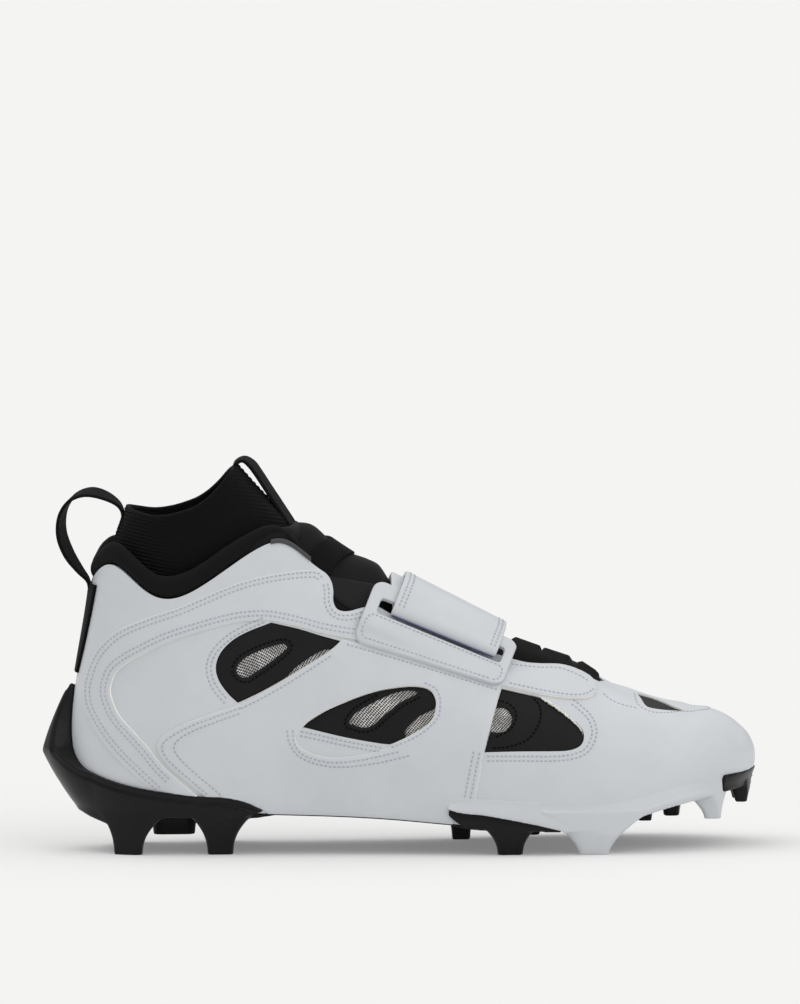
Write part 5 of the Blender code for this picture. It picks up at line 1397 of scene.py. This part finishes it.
# %% Path of the folded strap
STRAP_SLANT, STRAP_TILT = -5.5, -0.08
quarter_u = np.linspace(u_at_x(75.0, True), u_at_x(-70.0, True), 90)
far_u, far_v = np.meshgrid(quarter_u, np.linspace(0.1, 1.0, 70), indexing="ij")
w, y, n = to_strap_axes(skin(far_u, far_v, np.full(far_u.shape, 1.2)))
near = (w > STRAP_FROM - 1.0) & (w < STRAP_TO + 1.0)
y, n = y[near], n[near]
path = [(y[np.abs(n - level) < 1.5].max() + 1.5, level) for level in (60.0, 66.0, 72.0, 78.0, 84.0, 90.0)]
path += [(25.4, 95.6), (20.6, 100.0), (14.0, 103.4), (7.0, 105.0), (0.0, 105.6), (-8.0, 104.6)]
for up, off in ((27.5, -1.3), (24.0, -1.2), (19.6, -1.2), (17.0, -0.5), (16.0, 1.1), (17.0, 2.7),
                (19.4, 3.4), (24.5, 3.4)):
    path.append(tuple(float(c) for c in on_loop(np.array(up), np.array(off))))
path += [(-23.0, 104.9), (-20.0, 106.8), (-16.6, 107.8), (-12.0, 108.2), (-6.0, 108.5), (0.0, 108.4),
         (7.0, 107.6), (14.0, 105.8), (19.5, 103.0)]
path = smooth_path(path, 0.9)
run = unit(np.gradient(path, axis=0))
count = len(path)
fold = int(np.argmin(path[:, 0]))
over_instep = np.clip((path[:, 1] - 96.0) / 9.0, 0.0, 1.0)
slant = STRAP_SLANT * over_instep
slant[path[:, 0] > 10.0] = STRAP_SLANT
slant[fold:] = 0.0
middle = from_strap_axes(0.5 * (STRAP_FROM + STRAP_TO) + slant, path[:, 0], path[:, 1])
out = from_strap_axes(np.zeros(count), -run[:, 1], run[:, 0])
wide = np.tile(from_strap_axes(np.ones(1), np.zeros(1), np.zeros(1)), (count, 1))

# %% Folded strap
section = box_section(STRAP_TO - STRAP_FROM, STRAP_THICK, 0.7)
tilt = from_strap_axes(np.zeros(1), np.zeros(1), np.ones(1))[0] * STRAP_TILT


def tilted(across):
    """Lift of the strap over the instep, which is higher toward the heel."""
    return tilt[None, None] * (over_instep[:, None] * across[None, :])[..., None]


band("strap_band", middle, wide, out, section, WHITE, ("strap",), tilted(section[:, 0]))
flap = np.arange(count) > fold + 1
way = np.sign(np.sum(out[flap] * np.array([0.0, -0.5, 0.85]), axis=1).mean())
height = 0.5 * STRAP_THICK + STITCH_OVER
for across in (-22.2, -20.2, 20.6, 22.4):
    row = middle + wide * across + out * way * height + tilted(np.array([across]))[:, 0]
    sew(row[flap], (out * way)[flap])
y, n = on_loop(np.array(15.2), np.array(0.5))
turn = full_turn(10)
w = np.linspace(STRAP_FROM + 0.8, STRAP_TO - 0.8, 60)
w, y, n = np.broadcast_arrays(w[:, None], y + 0.5 * np.cos(turn), n + 0.45 * np.sin(turn))
swept("strap_lining", from_strap_axes(w, y, n), STRAP_LINING, ("strap",))
print("strap_band:", count, "stations")

# %% [markdown]
# ## Pull loops and heel tab
# Both loops are webbing, sewn at their ends and standing free between. The heel loop twists a little, so its
# two edges show beside each other.

# %% Webbing loops
def web_loop(name, rows, width, thick, twist, node):
    """Loop of webbing in the middle of the shoe, through rows of x, z and share of the twist."""
    rows = smooth_path(rows, 1.2)
    run = unit(np.gradient(rows[:, :2], axis=0))
    middle = np.stack([rows[:, 0], np.zeros(len(rows)), rows[:, 1]], axis=1)
    out = np.stack([-run[:, 1], np.zeros(len(rows)), run[:, 0]], axis=1)
    wide = np.stack([twist[0] * rows[:, 2], np.ones(len(rows)), twist[1] * rows[:, 2]], axis=1)
    return band(name, middle, wide, out, box_section(width, thick, 0.45 * thick), WEBBING, (node,))


HEEL_LOOP = ((-133.4, 112.6, 0.0), (-134.2, 116.8, 0.1), (-137.8, 121.4, 0.5), (-142.4, 128.4, 0.9),
             (-145.4, 137.0, 1.0), (-144.8, 145.8, 1.0), (-140.6, 152.2, 1.0), (-133.8, 154.8, 1.0),
             (-126.6, 153.2, 0.7), (-120.6, 149.4, 0.2), (-118.8, 144.6, 0.0), (-120.6, 138.6, 0.0),
             (-122.6, 132.0, 0.0))
FRONT_LOOP = ((-70.6, 164.6, 0.0), (-69.4, 167.2, 0.0), (-66.2, 168.4, 0.5), (-62.8, 166.0, 1.0),
              (-59.8, 161.8, 1.0), (-55.6, 155.2, 1.0), (-51.2, 148.4, 1.0), (-46.6, 141.2, 1.0),
              (-45.4, 139.0, 1.0))
web_loop("heel_pull", HEEL_LOOP, 12.0, 1.4, (0.28, 0.2), "heel_loop")
web_loop("front_pull", FRONT_LOOP, 15.0, 1.6, (0.12, 0.08), "front_loop")
print("pull loops: 2")

# %% Heel tab up the back seam
TAB_LOW, TAB_HIGH = 77.0, 115.5
tab_edge = [(share, TAB_LOW) for share in np.linspace(-1, 1, 5)]
tab_edge += [(1.0, z) for z in np.linspace(80, 113, 18)]
tab_edge += [(share, TAB_HIGH) for share in np.linspace(1, -1, 17)]
tab_edge += [(-1.0, z) for z in np.linspace(113, 80, 18)]
tab = []
for share, z in tab_edge:
    u = share * (5.0 + 8.0 * ((z - TAB_LOW) / (TAB_HIGH - TAB_LOW)) ** 0.8)
    tab.append((u, float(v_at_height(np.array(u), np.array(z))) * V_SCALE))
panel("heel_tab_webbing", np.array(tab), 0.1, 1.35, 0.5, 1.5, (WEBBING, WEBBING), ("heel_tab",), over=lift)
print("heel tab:", len(tab), "places round it")

# %% [markdown]
# ## Sole
# The plate is a moulding: heel cup, thin waist, forefoot core, toe piece and studs flow into each other.
# Each part is first drawn as its own closed solid. A voxel Remesh modifier then melts them into one skin and
# a Smooth modifier rounds the joins, which is how a mould's fillets look. Decimate keeps the mesh light.

# %% Sole helpers
STUD_ROUND, STUD_POWER = 48, 0.45
PLATE_VOXEL, PLATE_SHARE, RAND_VOXEL, RAND_SHARE, SMOOTHINGS = 0.0006, 0.42, 0.00045, 0.6, 5


def line(table, x):
    """Value of a table at x, smooth between its rows."""
    return smooth_rows(table, x)[..., 0]


def feather(offset, inner):
    """Feather edge drawn out by offset(x): sorted x, y and z along one side."""
    u = side_span(inner, 900)
    edge = LAST.at(u)[:, :3]
    flat = edge[:, :2] + outward(u)[:, :2] * offset(edge[:, 0])[:, None]
    order, rank = np.argsort(flat[:, 0]), np.argsort(edge[:, 0])
    return flat[order, 0], flat[order, 1], np.interp(flat[order, 0], edge[rank, 0], edge[rank, 2])


def even(value):
    """The same value at every x."""
    return lambda x: np.full(np.shape(x), float(value))


def slab(x, one, two, top, bottom):
    """Flat solid between two edges given as (x, y, z), from top to bottom below the feather edge."""
    sections = []
    for value in x:
        y1, z1 = np.interp(value, one[0], one[1]), np.interp(value, one[0], one[2])
        y2, z2 = np.interp(value, two[0], two[1]), np.interp(value, two[0], two[2])
        t, b = top(value), bottom(value)
        sections.append([(value, y1, z1 + t), (value, y2, z2 + t), (value, y2, z2 + b),
                         (value, y1, z1 + b)])
    return sweep(np.array(sections))[:2]


def wall(u, z_low, z_high, rows, thick, stand):
    """Side wall a little outside the upper between two heights; thick(u, share, z) gives its thickness."""
    v_low, v_high = v_at_height(u, z_low), v_at_height(u, z_high)
    f = np.linspace(0.0, 1.0, rows)[None, :]
    v = v_low[:, None] + (v_high - v_low)[:, None] * f
    uu = np.broadcast_to(u[:, None], v.shape)
    heavy = thick(uu, np.broadcast_to(f, v.shape), surface(uu, v)[..., 2])
    outer, near = skin(uu, v, stand + heavy), skin(uu, v, np.full(v.shape, stand))
    return sweep(np.concatenate([outer, near[:, ::-1]], axis=1))[:2]

# %% Studs and mouldings
def stud(row, low, high):
    """Tapered stud: it flares toward its root and stays flush with the edges low and high."""
    x, y, tip_z, tip_l, tip_w, root_x, root_z, root_l, root_w, power = row
    turn = full_turn(STUD_ROUND)
    c, s = rounded(np.cos(turn), STUD_POWER), rounded(np.sin(turn), STUD_POWER)
    sections = []
    for t in np.linspace(0.0, 1.0, 24):
        flare = t ** power
        ring_x = x + (root_x - x) * flare + 0.5 * (tip_l + (root_l - tip_l) * flare) * c
        ring_y = y + 0.5 * (tip_w + (root_w - tip_w) * t) * s
        ring_y = np.clip(ring_y, np.interp(ring_x, low[0], low[1]), np.interp(ring_x, high[0], high[1]))
        sections.append(np.stack([ring_x, ring_y, np.full(STUD_ROUND, tip_z + (root_z - tip_z) * t)],
                                 axis=1))
    return sweep(np.array(sections))[:2]


def moulding(name, solids, voxel, share, paint, node):
    """Melt closed solids into one rounded skin."""
    made = []
    for number, (points, faces) in enumerate(solids):
        mesh = bpy.data.meshes.new(f"{name}_{number}")
        mesh.from_pydata(metres(points).tolist(), [], facing_out(points, faces))
        made.append(bpy.data.objects.new(f"{name}_{number}", mesh))
        scene.collection.objects.link(made[-1])
    bpy.ops.object.select_all(action="DESELECT")
    for item in made:
        item.select_set(True)
    bpy.context.view_layer.objects.active = made[0]
    bpy.ops.object.join()
    whole = bpy.context.object
    whole.name = name
    melt = whole.modifiers.new("melt", "REMESH")
    melt.mode, melt.voxel_size = "VOXEL", voxel
    soften = whole.modifiers.new("soften", "SMOOTH")
    soften.factor, soften.iterations = 0.5, SMOOTHINGS
    lighten = whole.modifiers.new("lighten", "DECIMATE")
    lighten.ratio = share
    for step in ("melt", "soften", "lighten"):
        bpy.ops.object.modifier_apply(modifier=step)
    bpy.ops.object.shade_smooth()
    whole.data.materials.clear()
    whole.data.materials.append(paint)
    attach(whole, "root")
    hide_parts(node)
    print(name + ":", sum(len(p.vertices) - 2 for p in whole.data.polygons), "triangles")
    return whole

# %% Sizes of the sole
# Columns of the studs: x, y, z, length and width of the tip, then x, z, length and width of the root and the
# power of the flare between them.
BLACK_STUDS = (
    (-117.6, -26.0, 0.0, 12.4, 8.8, -114.8, 18.6, 31.6, 22.0, 2.3),
    (-117.6, 26.0, 0.0, 12.4, 8.8, -114.8, 18.6, 31.6, 22.0, 2.3),
    (-77.9, -27.5, 0.0, 11.2, 8.8, -77.4, 18.6, 31.0, 20.0, 2.3),
    (-77.9, 27.0, 0.0, 11.2, 8.8, -77.4, 18.6, 31.0, 20.0, 2.3),
    (-98.0, 0.0, 6.3, 18.0, 9.0, -98.0, 18.0, 24.0, 14.0, 2.0),
    (46.9, -42.5, 0.0, 11.0, 8.4, 47.2, 13.4, 27.0, 18.0, 2.2),
    (46.9, 36.5, 0.0, 11.0, 8.4, 47.2, 13.4, 27.0, 18.0, 2.2),
    (26.0, 30.0, 0.0, 8.0, 7.0, 26.0, 12.0, 12.0, 10.0, 2.0),
    (56.0, 6.0, 4.0, 8.0, 8.0, 56.0, 11.0, 13.0, 12.0, 2.0),
    (105.5, 8.0, 9.6, 6.0, 10.0, 105.5, 18.0, 10.0, 14.0, 2.0),
    (117.0, 9.0, 11.6, 7.0, 12.0, 117.0, 21.5, 12.0, 16.0, 2.0),
    (147.0, -3.0, 18.2, 5.2, 6.0, 146.2, 29.0, 14.0, 10.0, 1.6),
    (146.0, 14.0, 18.2, 5.2, 6.0, 145.4, 29.0, 14.0, 10.0, 1.6),
)
WHITE_STUDS = {
    "outer": ((82.9, -44.4, 0.0, 13.0, 8.4, 83.4, 19.0, 50.0, 20.0, 1.6),
              (134.4, -22.6, 13.0, 7.2, 7.5, 131.2, 24.5, 18.5, 14.0, 1.7)),
    "inner": ((85.5, 43.4, 0.0, 13.0, 8.4, 86.0, 19.0, 50.0, 20.0, 1.6),
              (134.4, 29.8, 13.0, 7.2, 7.5, 131.2, 24.5, 18.5, 14.0, 1.7)),
}
CUP_RIM = ((0.0, 74.0), (1.4, 66.0), (2.8, 56.0), (4.6, 48.0), (8.0, 42.0), (12.0, 38.2), (20.0, 34.6),
           (30.0, 31.6), (40.0, 29.4), (52.0, 27.5), (64.0, 26.0), (80.0, 24.8), (87.0, 23.0), (93.6, 19.6))
SPUR = np.array(((13.0, -1.0), (17.0, -0.8), (21.0, 0.2), (30.5, 4.0), (43.6, 10.2), (73.5, 0.0)))
RAND_TOP = ((20.2, 21.4), (21.4, 23.2), (23.4, 24.2), (30.0, 24.8), (36.0, 24.6), (46.0, 23.8),
            (60.0, 23.4), (75.0, 23.8), (94.6, 25.4), (123.0, 31.0), (138.0, 33.6))
RAND_FOOT = ((20.2, 20.6), (21.6, 20.0), (37.3, 17.5), (48.7, 15.5), (60.0, 13.2), (69.0, 11.0))
WING_LOW = ((21.0, 17.6), (24.0, 14.8), (29.0, 12.4), (36.0, 11.8), (69.0, 10.4))
RAND_FROM, RAND_TO, WING_TO, RAND_THICK = 20.2, 137.4, 69.0, 2.7
CUP_END, SKIRT = 93.6, 2.4
TOE_RIM = ((136.0, 31.6), (145.0, 32.8), (149.0, 33.8), (153.0, 34.8))

# %% Edges and undersides of the sole
INWARD = {"outer": 1.0, "inner": -1.0}
bare = {side: feather(even(0.0), inner) for side, inner in SIDES}
flush = {side: feather(even(2.5), inner) for side, inner in SIDES}
level = even(-GAP)


def core_edge(edge, way, extra):
    """Line between rand and plate underneath, farther in toward the toe."""
    return edge[0], edge[1] + way * (np.interp(edge[0], (108.0, 122.0), (11.0, 17.2)) + extra), edge[2]


def under(x):
    """Underside of the forefoot, from the feather edge."""
    return np.interp(x, (92, 104, 124, 136), (-3.0, -2.0, -2.0, -3.0))


def heel_under(x):
    """Underside of heel and waist, from the feather edge."""
    return np.interp(x, (-141, -134, -127, -114, -100, -62, -52, 18, 30),
                     (-1.3, -4.6, -7.0, -5.0, -2.9, -2.9, -1.0, -1.0, -2.6))


def drawn_in(x):
    """Edge of the plate: outside the feather edge at the heel, inside it at the waist."""
    return np.interp(x, (-150, -72, -62, 15, 70), (2.3, 2.3, -7.0, -7.0, -4.0))

# %% Thickness of the walls
def cup_thick(u, share, z):
    """Thin lip along the rim, fuller below, and the pointed spur behind the heel."""
    far = np.interp(np.abs(u), (0.0, 9.0, 19.0), (1.0, 0.56, 0.0))
    lip = np.clip((line(CUP_RIM, np.clip(np.abs(u), 0.0, CUP_END)) - z - 2.6) / 0.8, 0.0, 1.0)
    return 1.9 + 0.9 * lip * (1.0 - 0.3 * share) + np.interp(z, SPUR[:, 0], SPUR[:, 1]) * far


def toe_thick(u, share, z):
    """Toe piece, fuller toward the tip of the toe."""
    fuller = np.interp(LAST.at(u)[..., 0], (137.0, 149.0), (0.5, 1.7))
    return 1.9 - 0.7 * share ** 2 + fuller * share


def wing_thick(u, share, z):
    """Dark wing below the rand, thinner toward its top."""
    return 3.0 - 1.2 * share ** 3


def rand_thick(u, share, z):
    """Pale rand: full at its foot, a lip at its top."""
    lip = np.interp(LAST.at(u)[..., 0], (24.0, 50.0, 90.0), (-0.6, -0.4, 0.45))
    return 1.2 + RAND_THICK - (RAND_THICK + lip) * (share * share * (3.0 - 2.0 * share))

# %% Dark plate
plate_edge = {side: feather(drawn_in, inner) for side, inner in SIDES}
solids = [slab(np.linspace(-139.6, WING_TO, 260), plate_edge["outer"], plate_edge["inner"], level,
               heel_under)]
core = {side: core_edge(bare[side], INWARD[side], GAP) for side, _ in SIDES}
solids.append(slab(np.linspace(60.0, 142.0, 80), core["outer"], core["inner"], level, under))
broad = {side: feather(even(1.6), inner) for side, inner in SIDES}
toe_x = min(broad["outer"][0].max(), broad["inner"][0].max()) - 0.05
solids.append(slab(np.linspace(140.2, toe_x, 40), broad["outer"], broad["inner"], level, under))
u = np.linspace(-CUP_END, CUP_END, 240)
cup_low = np.maximum(LAST.at(u)[:, 2] - 2.0, np.interp(np.abs(u), (0.0, 76.0, CUP_END), (0.0, 15.0, 19.0)))
solids.append(wall(u, cup_low, line(CUP_RIM, np.abs(u)), 90, cup_thick, -0.2))
u = np.linspace(u_at_x(RAND_TO + 0.3, False), u_at_x(RAND_TO + 0.3, True), 60)
solids.append(wall(u, LAST.at(u)[:, 2] - SKIRT, line(TOE_RIM, LAST.at(u)[:, 0]), 16, toe_thick, -0.4))
for side, inner in SIDES:
    x = np.linspace(RAND_FROM + 0.8, WING_TO, 60)
    solids.append(wall(u_at_x(x, inner), line(WING_LOW, x), line(RAND_FOOT, x) + 0.8, 10, wing_thick, -0.6))
solids += [stud(row, flush["outer"], flush["inner"]) for row in BLACK_STUDS]
moulding("sole_plate_moulding", solids, PLATE_VOXEL, PLATE_SHARE, BLACK_MOULD, "sole_plate")
waist_edges = [feather(even(0.1), inner) for _, inner in SIDES]
points, faces = slab(np.linspace(-60.0, 24.0, 90), *waist_edges, even(0.0), even(-0.6))
piece("sole_waist_edge", points, facing_out(points, faces), (BLACK_MOULD,), ("sole_plate",))

# %% Pale rands with their studs
for side, inner in SIDES:
    x = np.concatenate([np.linspace(RAND_FROM, 27.0, 24), np.linspace(27.8, WING_TO, 46),
                        np.linspace(WING_TO + 1.0, RAND_TO, 80)])
    u = u_at_x(x, inner)
    low = np.where(x < WING_TO + 0.5, line(RAND_FOOT, x), LAST.at(u)[:, 2] - SKIRT)
    solids = [wall(u, low, line(RAND_TOP, x), 24, rand_thick, -1.2)]
    inside_edge = core_edge(bare[side], INWARD[side], 0.0)
    solids.append(slab(np.linspace(WING_TO + 0.8, RAND_TO, 70), flush[side], inside_edge, level, under))
    low, high = (inside_edge, flush[side]) if inner else (flush[side], inside_edge)
    solids += [stud(row, low, high) for row in WHITE_STUDS[side]]
    moulding(f"rand_{side}_moulding", solids, RAND_VOXEL, RAND_SHARE, WHITE_MOULD, f"rand_{side}")

# %% [markdown]
# ## Inside and threads
# The insole is a plain foam sheet that shows only through the collar. Last, all threads become two meshes.

# %% Insole
insole_edge = {side: feather(even(-2.9), inner) for side, inner in SIDES}
points, faces = slab(np.linspace(-134.4, 145.0, 160), insole_edge["outer"], insole_edge["inner"], even(4.0),
                     even(0.6))
piece("insole_foam", points, facing_out(points, faces), (FOAM,), ("insole",))
print("insole_foam:", len(faces), "faces")

# %% Threads as two meshes
for colour, rows in THREADS.items():
    start, points, faces = 0, [], []
    for some, shapes in rows:
        points.append(some)
        faces += [tuple(i + start for i in f) for f in shapes]
        start += len(some)
    piece(f"threads_{colour}", np.concatenate(points), faces,
          (THREAD_WITH_PAINTED_SHADE if colour == "white" else DARK_THREAD,),
          angle=80.0)
    print(f"threads_{colour}:", start // THREAD_POINTS)
